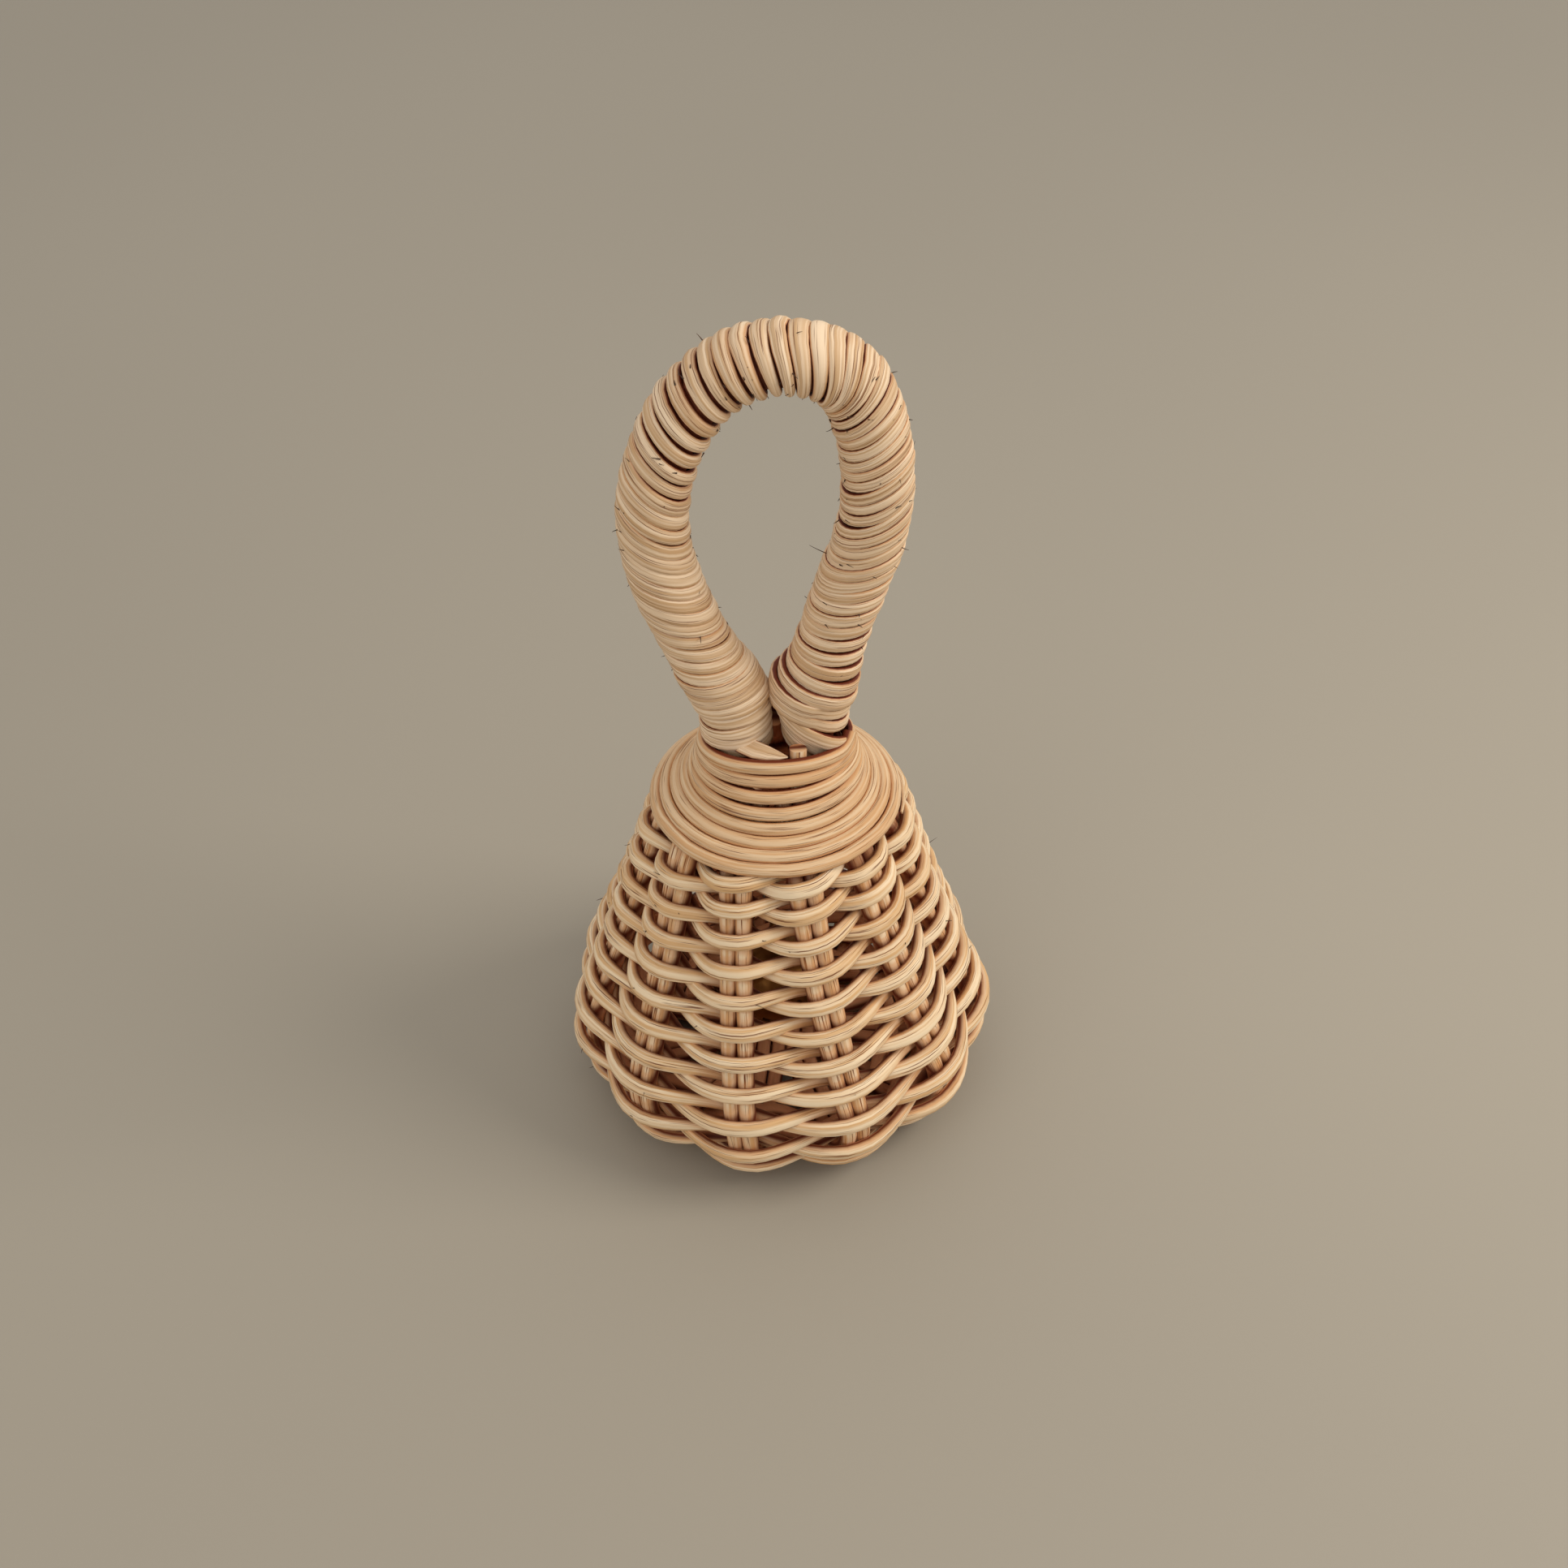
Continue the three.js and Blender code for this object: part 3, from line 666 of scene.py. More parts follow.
def rattan_material(grain_shade):
    """Grained rattan, with painted shade where a reed is hidden from the light."""
    material, tree, shader = new_material(grain_shade.name)
    colours = bpy.context.scene.rattan_colours
    names = (grain_shade.pale, grain_shade.honey, grain_shade.hidden, "brown", "warm_shade", "flank_shade")
    pale, honey, hidden, brown, warm_shade, flank_shade = [linear(getattr(colours, name)) for name in names]
    length = add_node(tree, "ShaderNodeUVMap", uv_map=REED_MAP)
    split = add_node(tree, "ShaderNodeSeparateXYZ")
    wire(tree, split.inputs[0], length.outputs[0])
    grain_values = {
        "Along": split.outputs[0],
        "Around": split.outputs[1],
        "Pale": pale,
        "Honey": honey,
        "Brown": brown,
        "Lines": grain_shade.lines,
    }
    grain = add_group(tree, rattan_grain(), grain_values)
    # The share of light at each point, which sets where the shade is painted
    light = add_node(tree, "ShaderNodeAttribute", attribute_name=LIGHT_SHARE)
    gap_values = {
        "Color": grain.outputs["Color"],
        "Light share": light.outputs["Fac"],
        "Warm shade": warm_shade,
        "Flank shade": flank_shade,
        "Inner shade": hidden,
        "Dark below": grain_shade.dark_below,
        "Clean above": grain_shade.clean_above,
    }
    gaps = add_group(tree, painted_shade(), gap_values)
    wire(tree, shader.inputs["Base Color"], gaps.outputs["Color"])
    wire(tree, shader.inputs["Roughness"], grain.outputs["Roughness"])
    shader.inputs["Specular IOR Level"].default_value = 0.35
    add_bump(tree, shader, grain.outputs["Height"], 0.5, 0.12 * MM)
    return material


def add_clouds(tree, shader, colour, shares, scale, detail, low, high):
    """Soft clouds from a colour to a share of each of its channels."""
    base = linear(colour)
    other = (*[channel * share for channel, share in zip(base, shares)], 1.0)
    place = add_node(tree, "ShaderNodeTexCoord").outputs["Object"]
    cloud = ramp(tree, add_noise(tree, place, scale, detail), low, high)
    wire(tree, shader.inputs["Base Color"], mix_colour(tree, cloud, base, other))
    return place


def brass_material():
    material, tree, shader = new_material("dull_brass")
    colour = bpy.context.scene.rattan_colours.brass
    place = add_clouds(tree, shader, colour, (0.5, 0.42, 0.35), 180, 4, 0.42, 0.68)
    scuff = add_noise(tree, place, 900)
    wire(tree, shader.inputs["Roughness"], ramp(tree, scuff, 0.3, 0.7, 0.32, 0.55))
    shader.inputs["Metallic"].default_value = 1.0
    add_bump(tree, shader, scuff, 0.2, 0.05 * MM)
    return material


def hair_material():
    material, tree, shader = new_material("dry_fibre")
    colour = bpy.context.scene.rattan_colours.hair
    add_clouds(tree, shader, colour, (3.0, 2.8, 2.6), 300, 2, 0.4, 0.7)
    shader.inputs["Roughness"].default_value = 0.8
    return material


# Stakes

STAKE_STEPS = 22
STAKE_RISE_R = WEAVE_START_R - 2.4
STAKE_STRAY = Waver(3, 1 / 14, 0.1)
STAKE_SWAY = Waver(0, 1 / 18, 0.22)
STAKE_PLUMP = Waver(31, 1 / 9, 0.05)
CAGE_MIDDLE = Vector((0, 0, 34))
# Painted shade on the stakes: the share of light they get low on the base, and how much less, within what
# reach, beside each strand that passes in front
BASE_TONE = 0.85
ROW_SHADE = 0.55
ROW_SHADE_REACH = 1.8


def stake_end(end):
    """Places of one rising end, from the base to the neck."""
    pair = end // 2 - 1
    sideways = (-REED_PITCH if end % 2 == 0 else REED_PITCH) / 2
    low = STAKE_LINE.where(lambda p: p.x >= STAKE_RISE_R)
    top = TALL_END_Z if end == TALL_END else STAKE_TOP_Z
    high = STAKE_LINE.where(lambda p: p.y >= top)
    places = []
    for k in range(STAKE_STEPS + 1):
        s = low + (high - low) * k / STAKE_STEPS
        outward = wander(STAKE_STRAY, s, end)
        sway = wander(STAKE_SWAY, s, end)
        places.append(cage_place(pair, s, outward, sideways + sway).point)
    return places


def row_shade(pair, z):
    """How much light a stake gets at a height: less beside the strands that pass in front of it."""
    if z < BELLY_Z:
        return BASE_TONE
    height = min(z, TALL_END_Z)
    s = STAKE_LINE.where(lambda p: p.y >= height)
    rows = (WEAVE_TOP - s) / LEVEL_PITCH - (pair - WEAVE_FIRST_PAIR) / PAIRS
    away = abs(rows - round(rows)) * LEVEL_PITCH
    return 1 - ROW_SHADE * math.exp(-((away / ROW_SHADE_REACH) ** 2))


def cross_reed(end_out, end_back, offset, along_x):
    """Stops of one long reed: down one side, through the crossing of the base and up the other side."""
    crossed = REEDS_ALONG_Y if along_x else REEDS_ALONG_X
    straight = (crossed + 1) / 2 * REED_PITCH
    level = BASE_Z + BASE_DOME + (0 if along_x else REED_PITCH)
    turn = Matrix.Rotation(FIRST_PAIR, 3, "Z")
    crossing = []
    for way in (-straight, 0.0, straight):
        crossing.append(turn @ Vector((way, offset, level) if along_x else (offset, way, level)))
    path = smooth_line([*reversed(stake_end(end_back)), *crossing, *stake_end(end_out)], 0.5, 3)
    d = bpy.context.scene.reed_sizes.stake_d / MM
    stops = []
    for k, point in enumerate(path):
        under_bell = 1 - ease(point.z, CROSSING_TOP_Z, 2 * CROSSING_TOP_Z)
        size = d * (1 - BASE_SLIM * under_bell + wander(STAKE_PLUMP, k, end_out))
        end = end_back if k < len(path) / 2 else end_out
        tone = row_shade(end // 2 - 1, point.z)
        stops.append(Stop(point, point - CAGE_MIDDLE, size, size, 0.0, tone))
    return stops


class LayStakes(bpy.types.Operator):
    """Lay the long reeds that cross under the base and rise in pairs"""

    bl_idname = "rattle.lay_stakes"
    bl_label = "Lay stakes"

    def execute(self, context):
        material = rattan_material(STAKE_GRAIN_SHADE)
        outline = oval_outline(ROUND_REED)
        reeds = []
        for i in range(REEDS_ALONG_X):
            offset = (i - (REEDS_ALONG_X - 1) / 2) * REED_PITCH
            reeds.append((i, PAIRS + REEDS_ALONG_X - 1 - i, offset, True))
        for j in range(REEDS_ALONG_Y):
            offset = (j - (REEDS_ALONG_Y - 1) / 2) * REED_PITCH
            reeds.append((PAIRS - 1 - j, 2 * PAIRS - REEDS_ALONG_Y + j, offset, False))
        for count, reed in enumerate(reeds, 1):
            bm = bmesh.new()
            lay_tube(bm, cross_reed(*reed), outline, STAKE_GRAIN * count)
            node = f"stake_reed_{count:02d}"
            finish_piece(bm, f"stake_{count:02d}", material, "reed", BASKET, node)
        return {"FINISHED"}


# Weave

PLATEAU = 0.45 * 3.15
ROUND_BEND = 0.6
RISE_SPAN = 0.42
DIP_PLACE = 0.15
DIP_SPAN = 0.3
WEAVER_STRAY = Waver(50, 0.9, 0.18)
WEAVER_WAVE = Waver(52, 0.6, 0.3)
WEAVER_PLUMP = Waver(54, 0.5, 0.09)
MIDWAY_HEIGHT = 0.92
FRONT_GAIN = 0.10
# Painted shade on the strands: their share of light midway between pairs, more in front of a pair and less
# behind it
MIDWAY_TONE = 0.74
FRONT_LIGHT = 0.26
END_GAP = 0.02


def count_crossings(low):
    """How many pairs a strand passes from the weave's top down to a distance up the stakes' line."""
    return math.floor((WEAVE_TOP - low) / LEVEL_PITCH * PAIRS)


def weave_stop(strand, x):
    """A stop of a strand at pair number x: in front of one pair, behind the next, rising as it passes."""
    pitch = LEVEL_PITCH if x > WEAVE_FIRST_PAIR else TUCKED_PITCH
    s = WEAVE_TOP - pitch * (x - WEAVE_FIRST_PAIR) / PAIRS
    radius = STAKE_LINE.at(s)[0].x
    pair = math.floor(x)
    share = x - pair
    front = 1 if (pair + strand) % 2 == 0 else -1
    plateau = PLATEAU / (radius * PAIR_ANGLE)
    cross = max(0.0, min((share - plateau) / (1 - 2 * plateau), 1.0))
    outward = front * (ROUND_BEND * math.cos(math.pi * cross) + (1 - ROUND_BEND) * (1 - 2 * cross))
    nearest = round(x)
    side = 1 if (nearest + strand) % 2 == 0 else -1
    rise = side * math.sin(math.pi / 2 * max(-1.0, min((x - nearest) / RISE_SPAN, 1.0)))
    past = x - 2 * round((x + strand) / 2) + strand
    dip = DIP * math.exp(-(((past - DIP_PLACE) / DIP_SPAN) ** 2))
    place = cage_place(x, s, outward * WEAVE_OFFSET + wander(WEAVER_STRAY, x, strand))
    point = place.point + place.up * (rise * TWIST - dip + wander(WEAVER_WAVE, x, strand))
    plump = 1 + wander(WEAVER_PLUMP, x, strand)
    sizes = bpy.context.scene.reed_sizes
    thick = sizes.weaver_thickness / MM * plump
    height = sizes.weaver_height / MM * plump * (MIDWAY_HEIGHT + FRONT_GAIN * outward)
    return Stop(point, place.out, thick, height, 0.0, MIDWAY_TONE + FRONT_LIGHT * outward)


class TwineWeavers(bpy.types.Operator):
    """Twine the two strands round the pairs of stakes"""

    bl_idname = "rattle.twine_weavers"
    bl_label = "Twine weavers"

    def execute(self, context):
        material = rattan_material(WEAVER_GRAIN_SHADE)
        outline = oval_outline(FLAT_REED)
        crossings = count_crossings(STAKE_LINE.where(lambda p: p.x >= WEAVE_START_R))
        for strand in range(STRANDS):
            for length in range(LENGTHS_PER_STRAND):
                shares = (length / LENGTHS_PER_STRAND, (length + 1) / LENGTHS_PER_STRAND)
                passed = [2 * math.floor(crossings * share / 2 + 0.5) for share in shares]
                first, last = [WEAVE_FIRST_PAIR - 1 + strand + count for count in passed]
                if length == 0:
                    first -= TUCKED_PAIRS
                count = (last - first) * WEAVE_STEPS
                stops = []
                for k in range(count + 1):
                    x = first + END_GAP + (last - first - 2 * END_GAP) * k / count
                    stops.append(weave_stop(strand, x))
                bm = bmesh.new()
                start = WEAVER_GRAIN + STRAND_GRAIN * strand + LENGTH_GRAIN * length
                lay_tube(bm, stops, outline, start)
                name = f"{'ab'[strand]}_{length + 1}"
                finish_piece(bm, f"weave_{name}", material, "reed", BASKET, f"weaver_{name}")
        return {"FINISHED"}


# Collar

COLLAR_STEPS = 64
COLLAR_STRAY = Waver(80, 3.1, 0.12)
COLLAR_PLUMP = Waver(81, 2.3, 0.06)
COLLAR_WAVE = Waver(82, 2.7, 0.16)
COLLAR_SQUEEZE = 0.98
END_SLIM = 0.3
END_TAPER = 2.8
COIL_END_RISE = 2.0
COIL_END_TURNS = 0.06
RIM_SAG = 1.3
SAG_TURNS = 2.6


class CoilCollar(bpy.types.Operator):
    """Coil one reed round the gathered stakes of the neck"""

    bl_idname = "rattle.coil_collar"
    bl_label = "Coil collar"

    def execute(self, context):
        d = context.scene.reed_sizes.collar_d / MM
        stops = []
        for k, s in enumerate(make_collar_steps(COLLAR_STEPS)):
            turns = k / COLLAR_STEPS
            place = cage_place(-turns * PAIRS, s, COLLAR_OFFSET + wander(COLLAR_STRAY, turns))
            end = min(1.0, END_SLIM + END_TAPER * (COLLAR_LOOPS - turns))
            size = d * end * (1 + wander(COLLAR_PLUMP, turns))
            tail = COIL_END_RISE * max(0.0, 1 - turns / COIL_END_TURNS) ** 2
            sag = RIM_SAG * place.tangent.y**2 * max(0.0, 1 - turns / SAG_TURNS)
            point = place.point + place.up * (tail - sag + wander(COLLAR_WAVE, turns))
            stops.append(Stop(point, place.out, size, size * COLLAR_SQUEEZE, 0.0, 1.0))
        bm = bmesh.new()
        lay_tube(bm, stops, oval_outline(ROUND_REED), COLLAR_GRAIN)
        finish_piece(bm, "neck_collar", rattan_material(COLLAR_GRAIN_SHADE), "reed", BASKET, "collar_coil")
        return {"FINISHED"}


# Handle

BUNDLE_REEDS = 7
BUNDLE_SIDES = 28
BUNDLE_STEP = 2.0
LOBE_DEPTH = 0.05
RIM_SWELL_Z = COLLAR_TOP_Z + 1.5
RIM_SWELL_REACH = 2.2
LEGS_MEET_Z = COLLAR_TOP_Z + 5.7
LEGS_MEET_REACH = 4.0
RIGHT_LEG_SWELL = 2.3
LEFT_LEG_SWELL = 0.6
WRAP_STEPS = 28
WRAP_LEAN = Waver(90, 0.45, 6.0)
WRAP_WAVE = Waver(91, 0.8, 0.22)
WRAP_GAP = Waver(92, 1.7, 0.5)
WRAP_ROLL = Waver(93, 0.6, 5.0)
WRAP_PLUMP = Waver(94, 0.9, 0.12)
WRAP_STRIDE = Waver(95, 0.5, 0.22)
WRAP_TONE = Waver(96, 4.1, 0.6)
WRAP_LIFT = 0.25
INNER_CLOSE = 0.4
SLANT_SHARE = 0.8
CROWN_SINK = 0.3
CROWN_SWELL = 0.5
# Painted shade on the strip: its share of light, less where its turns stand open over the core and never
# below the least, with a random change
STRIP_TONE = 1.12
GAP_SHADE = 0.25
LEAST_TONE = 0.86
TAIL_FACING = Vector((0.1, -0.55, 0.83))
TAIL_THICKNESS = 0.8


def core_radius(z):
    swell = ease(z, COLLAR_TOP_Z, COLLAR_TOP_Z + CORE_FOOT_RISE)
    slim = ease(z, COLLAR_TOP_Z + CORE_FOOT_RISE, COLLAR_TOP_Z + CORE_SLIM_RISE)
    return CORE_END_R + (CORE_FOOT_R - CORE_END_R) * swell - (CORE_FOOT_R - CORE_R) * slim


class BendCore(bpy.types.Operator):
    """Bend the bundle of reed ends that the strips are wrapped round"""

    bl_idname = "rattle.bend_core"
    bl_label = "Bend core"

    def execute(self, context):
        outline = []
        for k in range(BUNDLE_SIDES):
            angle = TURN * k / BUNDLE_SIDES
            lobe = 0.5 - abs(math.sin(angle * BUNDLE_REEDS / 2)) ** 0.5
            r = 0.5 + LOBE_DEPTH * lobe
            outline.append((r * math.cos(angle), r * math.sin(angle), 1.0))
        facing = Vector((0, -1, 0))
        count = round(HANDLE.length / BUNDLE_STEP)
        stops = []
        for k in range(count + 1):
            point = HANDLE.at(HANDLE.length * k / count)[0]
            across = 2 * core_radius(point.z)
            stops.append(Stop(point, facing, across, across, 0.0, 1.0))
        bm = bmesh.new()
        lay_tube(bm, stops, outline, CORE_GRAIN)
        finish_piece(bm, "handle_bundle", rattan_material(CORE_GRAIN_SHADE), "core", BASKET, "handle_core")
        return {"FINISHED"}


def wrap_values(share):
    """Pitch, gap, lean, roll and crown of the wrap at a share of the handle's length."""
    rows = WRAP_TABLE
    i = max(0, min(bisect.bisect_right([row[0] for row in rows], share) - 1, len(rows) - 2))
    a, b = rows[i], rows[i + 1]
    t = max(0.0, min((share - a[0]) / (b[0] - a[0]), 1.0))
    return [p + (q - p) * t for p, q in zip(a[1:], b[1:])]


WrapPlace = namedtuple("WrapPlace", "point radial along")


def wrap_place(distance, angle, lean, height):
    """A place on the wrap: distance along the handle, angle from its outer side, height over the core."""
    reach = CORE_R + height
    shifted = distance + math.tan(lean * DEGREE) * reach * math.cos(angle)
    shifted = max(0.0, min(shifted, HANDLE.length))
    centre, along = HANDLE.at(shifted)
    out = along.cross(Vector((0, 1, 0)))
    radial = out * math.cos(angle) + Vector((0, math.sin(angle), 0))
    return WrapPlace(centre + radial * (core_radius(centre.z) + height), radial, along)


def foot_swell(distance, angle):
    """How much the wrap stands out over the collar's rim, and on the right leg against the left one."""
    centre = HANDLE.at(distance)[0]
    outside = math.cos(angle)
    over_rim = (1.0 + outside) * math.exp(-(((centre.z - RIM_SWELL_Z) / RIM_SWELL_REACH) ** 2))
    inside = max(0.0, -outside) * (RIGHT_LEG_SWELL if centre.x > 0 else LEFT_LEG_SWELL)
    return over_rim + inside * math.exp(-(((centre.z - LEGS_MEET_Z) / LEGS_MEET_REACH) ** 2))


class WrapHandle(bpy.types.Operator):
    """Wrap the split strip round the core, wide on the arch and shingled on the legs"""

    bl_idname = "rattle.wrap_handle"
    bl_label = "Wrap handle"

    def execute(self, context):
        thickness = context.scene.reed_sizes.strip_thickness / MM
        foot = HANDLE.where(lambda p: p.z >= WRAP_LOW_Z)
        back = MeasuredLine(list(reversed(HANDLE.points)))
        end = HANDLE.length - back.where(lambda p: p.z >= WRAP_LOW_Z)
        distance, k = foot, 0
        stops = []
        while distance < end:
            pitch, gap, lean, roll, crown = wrap_values((distance - foot) / (end - foot))
            turn = k / WRAP_STEPS
            angle = TURN * turn
            lean += wander(WRAP_LEAN, turn)
            lift = WRAP_LIFT + wander(WRAP_WAVE, turn) - CROWN_SINK * crown
            place = wrap_place(distance, angle, lean, lift + foot_swell(distance, angle))
            halves = (-pitch / 2, pitch / 2)
            low, high = [wrap_place(distance + half, angle, lean, thickness).point for half in halves]
            opened = gap * (1 - INNER_CLOSE + INNER_CLOSE * math.cos(angle)) + wander(WRAP_GAP, turn)
            slant = math.atan(SLANT_SHARE * math.tan(lean * DEGREE) * math.sin(angle))
            width = (high - low).length * math.cos(slant) - opened
            rolled = (roll + wander(WRAP_ROLL, turn)) * DEGREE
            thick = thickness * (1 + CROWN_SWELL * crown + wander(WRAP_PLUMP, turn))
            tone = max(LEAST_TONE, STRIP_TONE - GAP_SHADE * gap + wander(WRAP_TONE, turn))
            stops.append(Stop(place.point, place.radial, thick, width, rolled, tone, crown))
            distance += pitch / WRAP_STEPS * (1 + wander(WRAP_STRIDE, turn))
            k += 1
        bm = bmesh.new()
        lay_tube(bm, stops, strip_outline(), STRIP_GRAIN)
        tail = []
        for x, y, z, width in STRIP_TAIL:
            tail.append(Stop(Vector((x, y, z)), TAIL_FACING, TAIL_THICKNESS, width, 0.0, 1.0))
        lay_tube(bm, tail, strip_outline(), TAIL_GRAIN)
        finish_piece(bm, "handle_strip", rattan_material(STRIP_GRAIN_SHADE), "strip", BASKET, "handle_wrap")
        return {"FINISHED"}


# Loose fibres

FIBRE_SEED = 11
HANDLE_FIBRES = 80
STRIP_CHIPS = 90
WEAVE_FIBRES = 80
FIBRE_ROOT = 1.2
CHIP_ROOT = 1.28
WEAVE_ROOT = 0.45
LONG_FIBRE_Z = 120
LONG_FIBRE_PAST = 78.0
LONG_FIBRE_ROOT = 1.0
LONG_FIBRE_WAY = Vector((-0.75, -0.3, 0.6))
LONG_FIBRE_BEND = Vector((0, 0, 0.05))
LONG_FIBRE_LENGTH = 3.8
HAIR_SIDES = 5
HAIR_STEPS = 5
HAIR_TAPER = 0.7


def lay_hair(bm, root, way, length, bend, share):
    """One dry fibre that tapers and curls, with a share of the usual radius."""
    radius = bpy.context.scene.reed_sizes.hair_r / MM * share
    angles = [TURN * k / HAIR_SIDES for k in range(HAIR_SIDES)]
    outline = [(math.cos(angle), math.sin(angle), 1.0) for angle in angles]
    way = way.normalized()
    side = way.orthogonal().normalized()
    stops = []
    for k in range(HAIR_STEPS + 1):
        t = k / HAIR_STEPS
        point = root + way * length * t + bend * length * t * t
        size = radius * (1 - HAIR_TAPER * t)
        stops.append(Stop(point, side, size, size, 0.0, 1.0))
    lay_tube(bm, stops, outline)


def draw_hair(bm, draw, root, way, bend, lengths, shares):
    """Lays a fibre, whose bend, length and share of the radius are drawn in that order."""
    curl = Vector([draw.uniform(-bend, bend) for _ in range(3)])
    length = draw.uniform(*lengths)
    lay_hair(bm, root, way, length, curl, draw.uniform(*shares))


def fray_handle(bm, draw):
    """Fibres that stand off the strips, chips that lie on them, and one long fibre inside the loop."""
    for _ in range(HANDLE_FIBRES):
        distance = HANDLE.length * draw.uniform(0.12, 0.88)
        place = wrap_place(distance, draw.uniform(0, TURN), 0.0, FIBRE_ROOT)
        tangent = place.radial.cross(place.along)
        way = place.radial * draw.uniform(0.35, 0.9) + tangent * draw.uniform(-1, 1)
        way += place.along * draw.uniform(-0.5, 0.5)
        draw_hair(bm, draw, place.point, way, 0.35, (0.5, 1.3), (0.8, 1.4))
    for _ in range(STRIP_CHIPS):
        distance = HANDLE.length * draw.triangular(0.15, 0.85, 0.58)
        place = wrap_place(distance, draw.uniform(0, TURN), 0.0, CHIP_ROOT)
        tangent = place.radial.cross(place.along)
        way = tangent + place.along * draw.uniform(-0.4, 0.4) + place.radial * draw.uniform(0.05, 0.3)
        draw_hair(bm, draw, place.point, way, 0.2, (0.5, 1.4), (0.8, 1.5))
    distance = HANDLE.where(lambda p: p.z >= LONG_FIBRE_Z) + LONG_FIBRE_PAST
    root = wrap_place(distance, math.pi, 0.0, LONG_FIBRE_ROOT).point
    lay_hair(bm, root, LONG_FIBRE_WAY, LONG_FIBRE_LENGTH, LONG_FIBRE_BEND, 1.0)


def fray_weave(bm, draw):
    """Fibres that stand off the strands where they pass in front of the pairs."""
    crossings = count_crossings(STAKE_LINE.where(lambda p: p.y >= BASE_Z + 1))
    for _ in range(WEAVE_FIBRES):
        strand = draw.randrange(STRANDS)
        front_pair = WEAVE_FIRST_PAIR + 2 * draw.randrange(crossings // 2) + strand
        stop = weave_stop(strand, front_pair + draw.uniform(-0.4, 0.4))
        root = stop.point + stop.out * stop.thick * WEAVE_ROOT
        tangent = stop.out.cross(Vector((0, 0, 1)))
        way = stop.out * draw.uniform(0.2, 0.8) + tangent * draw.uniform(-1, 1)
        way.z += draw.uniform(-0.4, 0.6)
        draw_hair(bm, draw, root, way, 0.3, (0.6, 1.6), (0.7, 1.1))


class RaiseFibres(bpy.types.Operator):
    """Raise the dry fibres that stand off the strips and reeds"""

    bl_idname = "rattle.raise_fibres"
    bl_label = "Raise fibres"

    def execute(self, context):
        material = hair_material()
        draw = random.Random(FIBRE_SEED)
        bm = bmesh.new()
        fray_handle(bm, draw)
        finish_piece(bm, "handle_fibres", material, "strip", BASKET)
        bm = bmesh.new()
        fray_weave(bm, draw)
        finish_piece(bm, "weave_fibres", material, "reed", BASKET)
        return {"FINISHED"}


# Bell

ARC_STEPS = 14
BELL_STEPS = 48
RING_STEPS = 28
WIRE_SIDES = 10
BALL_SHRINK = 0.97
BALL_SEAM = 0.02
BALL_SEAM_REACH = 0.08
BALL_DENT = 0.015
BELL_MERGE = 1e-4
SLOT_MERGE = 1e-6


def bell_place():
    tilt = Matrix.Rotation(BELL_FACING, 4, "Z") @ Matrix.Rotation(BELL_TILT, 4, "X")
    return Matrix.Translation((AXIS + Vector((0, 0, BELL_Z))) * MM) @ tilt @ Matrix.Scale(MM, 4)


def make_arc(radius, first, last):
    angles = [first + (last - first) * k / ARC_STEPS for k in range(ARC_STEPS + 1)]
    return [(radius * math.cos(angle), radius * math.sin(angle)) for angle in angles]


def spin_round(bm, geometry, centre, axis, steps):
    bmesh.ops.spin(bm, geom=geometry, cent=centre, axis=axis, angle=TURN, steps=steps, use_merge=True)


def spin_half(bm, sign):
    """One pressed half: an arc with a lip, turned round its axis."""
    inner = BELL_R - BELL_WALL
    edge = BELL_R + BELL_LIP
    lip_angle = math.asin((BELL_SEAM + BELL_WALL) / BELL_R)
    seam_angle = math.asin(BELL_SEAM / inner)
    profile = make_arc(BELL_R, math.pi / 2, lip_angle)
    profile += [(edge, BELL_SEAM + BELL_WALL), (edge, BELL_SEAM)]
    profile += make_arc(inner, seam_angle, math.pi / 2)
    verts = [bm.verts.new((r, 0, sign * z)) for r, z in profile]
    edges = [bm.edges.new(pair) for pair in zip(verts, verts[1:])]
    spin_round(bm, verts + edges, (0, 0, 0), (0, 0, 1), BELL_STEPS)
    bmesh.ops.remove_doubles(bm, verts=bm.verts, dist=BELL_MERGE)
    bmesh.ops.recalc_face_normals(bm, faces=bm.faces)


def cut_slots(piece):
    """Cuts the two crossed sound slots out of the lower half."""
    cutter_bm = bmesh.new()
    for turn in (0.0, math.pi / 2):
        size = Matrix.Diagonal((SLOT_LENGTH, SLOT_WIDTH, BELL_R, 1.0))
        place = Matrix.Rotation(turn, 4, "Z") @ Matrix.Translation((0, 0, -BELL_R)) @ size
        bmesh.ops.create_cube(cutter_bm, size=1.0, matrix=bell_place() @ place)
    cutter = add_mesh("slot_cutter", cutter_bm)
    cut = piece.modifiers.new("slots", "BOOLEAN")
    cut.operation = "DIFFERENCE"
    cut.use_self = True
    cut.object = cutter
    bpy.context.view_layer.update()
    shaped = bpy.data.meshes.new_from_object(piece.evaluated_get(bpy.context.evaluated_depsgraph_get()))
    piece.modifiers.clear()
    bm = bmesh.new()
    bm.from_mesh(shaped)
    bmesh.ops.remove_doubles(bm, verts=bm.verts, dist=SLOT_MERGE)
    bm.to_mesh(shaped)
    bm.free()
    piece.data = shaped
    bpy.data.objects.remove(cutter)


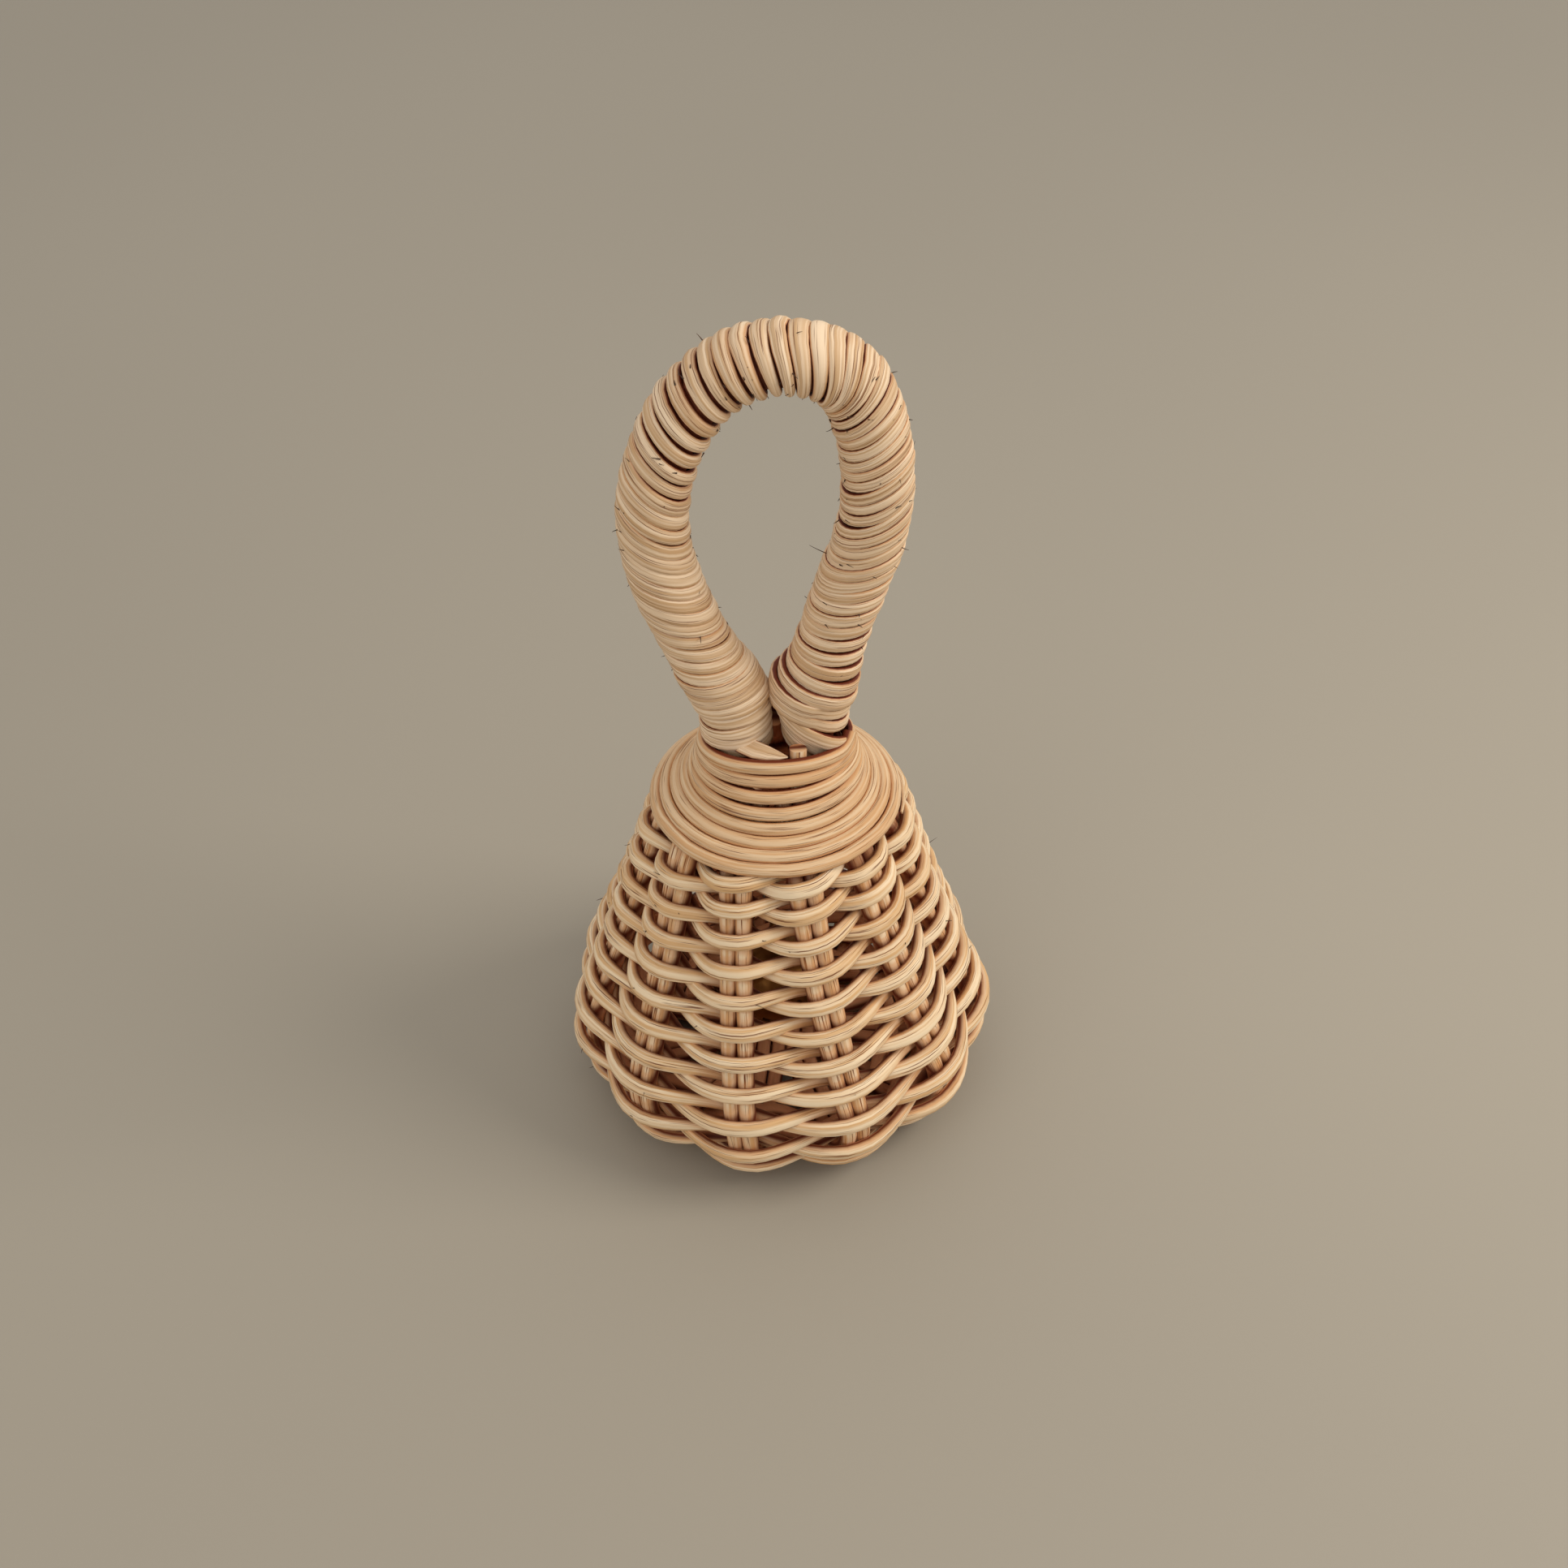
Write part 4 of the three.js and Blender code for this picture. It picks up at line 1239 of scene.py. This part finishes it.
class PressBell(bpy.types.Operator):
    """Press the two halves of the jingle bell and put the pellet in"""

    bl_idname = "rattle.press_bell"
    bl_label = "Press bell"

    def execute(self, context):
        brass = brass_material()
        bm = bmesh.new()
        spin_half(bm, 1)
        middle = Vector((0, 0, BELL_R + LOOP_R))
        section = Matrix.Translation(middle + Vector((LOOP_R, 0, 0)))
        made = bmesh.ops.create_circle(bm, segments=WIRE_SIDES, radius=LOOP_WIRE_R, matrix=section)["verts"]
        wire_edges = list({edge for vert in made for edge in vert.link_edges})
        spin_round(bm, made + wire_edges, middle, (0, 1, 0), RING_STEPS)
        bmesh.ops.transform(bm, verts=bm.verts, matrix=bell_place())
        finish_piece(bm, "bell_top", brass, "bell", "bell", "bell_crown")
        bm = bmesh.new()
        spin_half(bm, -1)
        bmesh.ops.transform(bm, verts=bm.verts, matrix=bell_place())
        cut_slots(finish_piece(bm, "bell_bottom", brass, "bell", "bell", "bell_skirt"))
        bm = bmesh.new()
        centre = (PELLET_LOW + PELLET_HIGH) / 2
        radius = (PELLET_HIGH.x - PELLET_LOW.x) / 2
        bmesh.ops.create_icosphere(bm, subdivisions=3, radius=radius, matrix=Matrix.Translation(centre))
        for vert in bm.verts:
            way = (vert.co - centre).normalized()
            ridge = BALL_SEAM * max(0.0, 1 - abs(way.z) / BALL_SEAM_REACH)
            dent = BALL_DENT * noise.noise(way * 2.3)
            vert.co = centre + way * radius * (BALL_SHRINK + ridge + dent)
        finish_piece(bm, "bell_ball", brass, "bell", "pellet", "bell_pellet")
        return {"FINISHED"}


# Stage, in metres

FLOOR_REACH = 4.0
SKY_COLOUR = (0.95, 0.93, 0.90, 1.0)
LIGHT_AIM = Vector((0.0, 0.0, 0.06))
Lamp = namedtuple("Lamp", "place size colour")
KEY_LAMP = Lamp(Vector((0.55, -0.06, 0.50)), 0.40, (1.0, 0.95, 0.88))
FILL_LAMP = Lamp(Vector((-0.35, -0.55, 0.45)), 0.60, (1.0, 0.98, 0.96))

# The view, found from the photograph's outlines; its shift and the photograph's width are in pixels
VIEW_HEIGHT = 41.3 * DEGREE
VIEW_DISTANCE = 0.372
VIEW_AIM_Z = 0.0636
VIEW_ROLL = -0.7 * DEGREE
VIEW_SHIFT = 7.08
PHOTO_WIDTH = 1932
SENSOR_WIDTH = 36.0
LENS = 51.24


def floor_material():
    material, tree, shader = new_material("pale_floor")
    colour = bpy.context.scene.rattan_colours.floor
    add_clouds(tree, shader, colour, (0.95, 0.95, 0.95), 2.5, 1, 0.35, 0.65)
    shader.inputs["Roughness"].default_value = 0.65
    return material


def add_area_light(name, lamp, power):
    data = bpy.data.lights.new(name, "AREA")
    data.shape = "DISK"
    data.size = lamp.size
    data.energy = power
    data.color = lamp.colour
    light = add_object(name, data)
    light.location = lamp.place
    light.rotation_euler = (LIGHT_AIM - lamp.place).to_track_quat("-Z", "Y").to_euler()


class SetStage(bpy.types.Operator):
    """Set the floor, the lights and the camera of the photograph"""

    bl_idname = "rattle.set_stage"
    bl_label = "Set stage"

    def execute(self, context):
        look = context.scene.stage_look
        bm = bmesh.new()
        bmesh.ops.create_grid(bm, x_segments=8, y_segments=8, size=FLOOR_REACH)
        floor = add_mesh("floor", bm)
        floor.data.materials.append(floor_material())

        world = bpy.data.worlds.new("soft_room")
        world.use_nodes = True
        background = world.node_tree.nodes["Background"]
        background.inputs["Color"].default_value = SKY_COLOUR
        background.inputs["Strength"].default_value = look.sky
        context.scene.world = world
        add_area_light("key", KEY_LAMP, look.key)
        add_area_light("fill", FILL_LAMP, look.fill)

        camera = bpy.data.cameras.new("camera")
        camera.sensor_width = SENSOR_WIDTH
        camera.lens = LENS
        camera.shift_x = VIEW_SHIFT / PHOTO_WIDTH
        camera.clip_start = 0.01
        viewer = add_object("camera", camera)
        away, over = math.cos(VIEW_HEIGHT), math.sin(VIEW_HEIGHT)
        viewer.location = (0.0, -VIEW_DISTANCE * away, VIEW_AIM_Z + VIEW_DISTANCE * over)
        look_down = Matrix.Rotation(math.pi / 2 - VIEW_HEIGHT, 3, "X")
        viewer.rotation_euler = (look_down @ Matrix.Rotation(VIEW_ROLL, 3, "Z")).to_euler()
        context.scene.camera = viewer
        context.scene.view_settings.view_transform = "Standard"
        return {"FINISHED"}


class RattlePanel(bpy.types.Panel):
    """Sizes, colours and steps of the rattle"""

    bl_idname = "RATTLE_PT_panel"
    bl_label = "Wicker Rattle"
    bl_space_type = "VIEW_3D"
    bl_region_type = "UI"
    bl_category = "Rattle"

    def draw(self, context):
        for group in [getattr(context.scene, key) for key in GROUPS]:
            box = self.layout.box()
            for key in group.bl_rna.properties.keys():
                if key not in ("rna_type", "name"):
                    box.prop(group, key)
        for step in STEPS:
            self.layout.operator(step.bl_idname)


STEPS = (LayStakes, TwineWeavers, CoilCollar, BendCore, WrapHandle, RaiseFibres, PressBell, SetStage)
GROUPS = {"reed_sizes": ReedSizes, "rattan_colours": RattanColours, "stage_look": StageLook}


def register():
    for key, group in GROUPS.items():
        bpy.utils.register_class(group)
        setattr(bpy.types.Scene, key, bpy.props.PointerProperty(type=group))
    for step in (*STEPS, RattlePanel):
        bpy.utils.register_class(step)


def unregister():
    for step in reversed((*STEPS, RattlePanel)):
        bpy.utils.unregister_class(step)
    for key, group in GROUPS.items():
        delattr(bpy.types.Scene, key)
        bpy.utils.unregister_class(group)


def main():
    register()
    bpy.ops.rattle.lay_stakes()
    bpy.ops.rattle.twine_weavers()
    bpy.ops.rattle.coil_collar()
    bpy.ops.rattle.bend_core()
    bpy.ops.rattle.wrap_handle()
    bpy.ops.rattle.raise_fibres()
    bpy.ops.rattle.press_bell()
    bpy.ops.rattle.set_stage()
    bpy.context.view_layer.update()


if __name__ == "__main__":
    main()
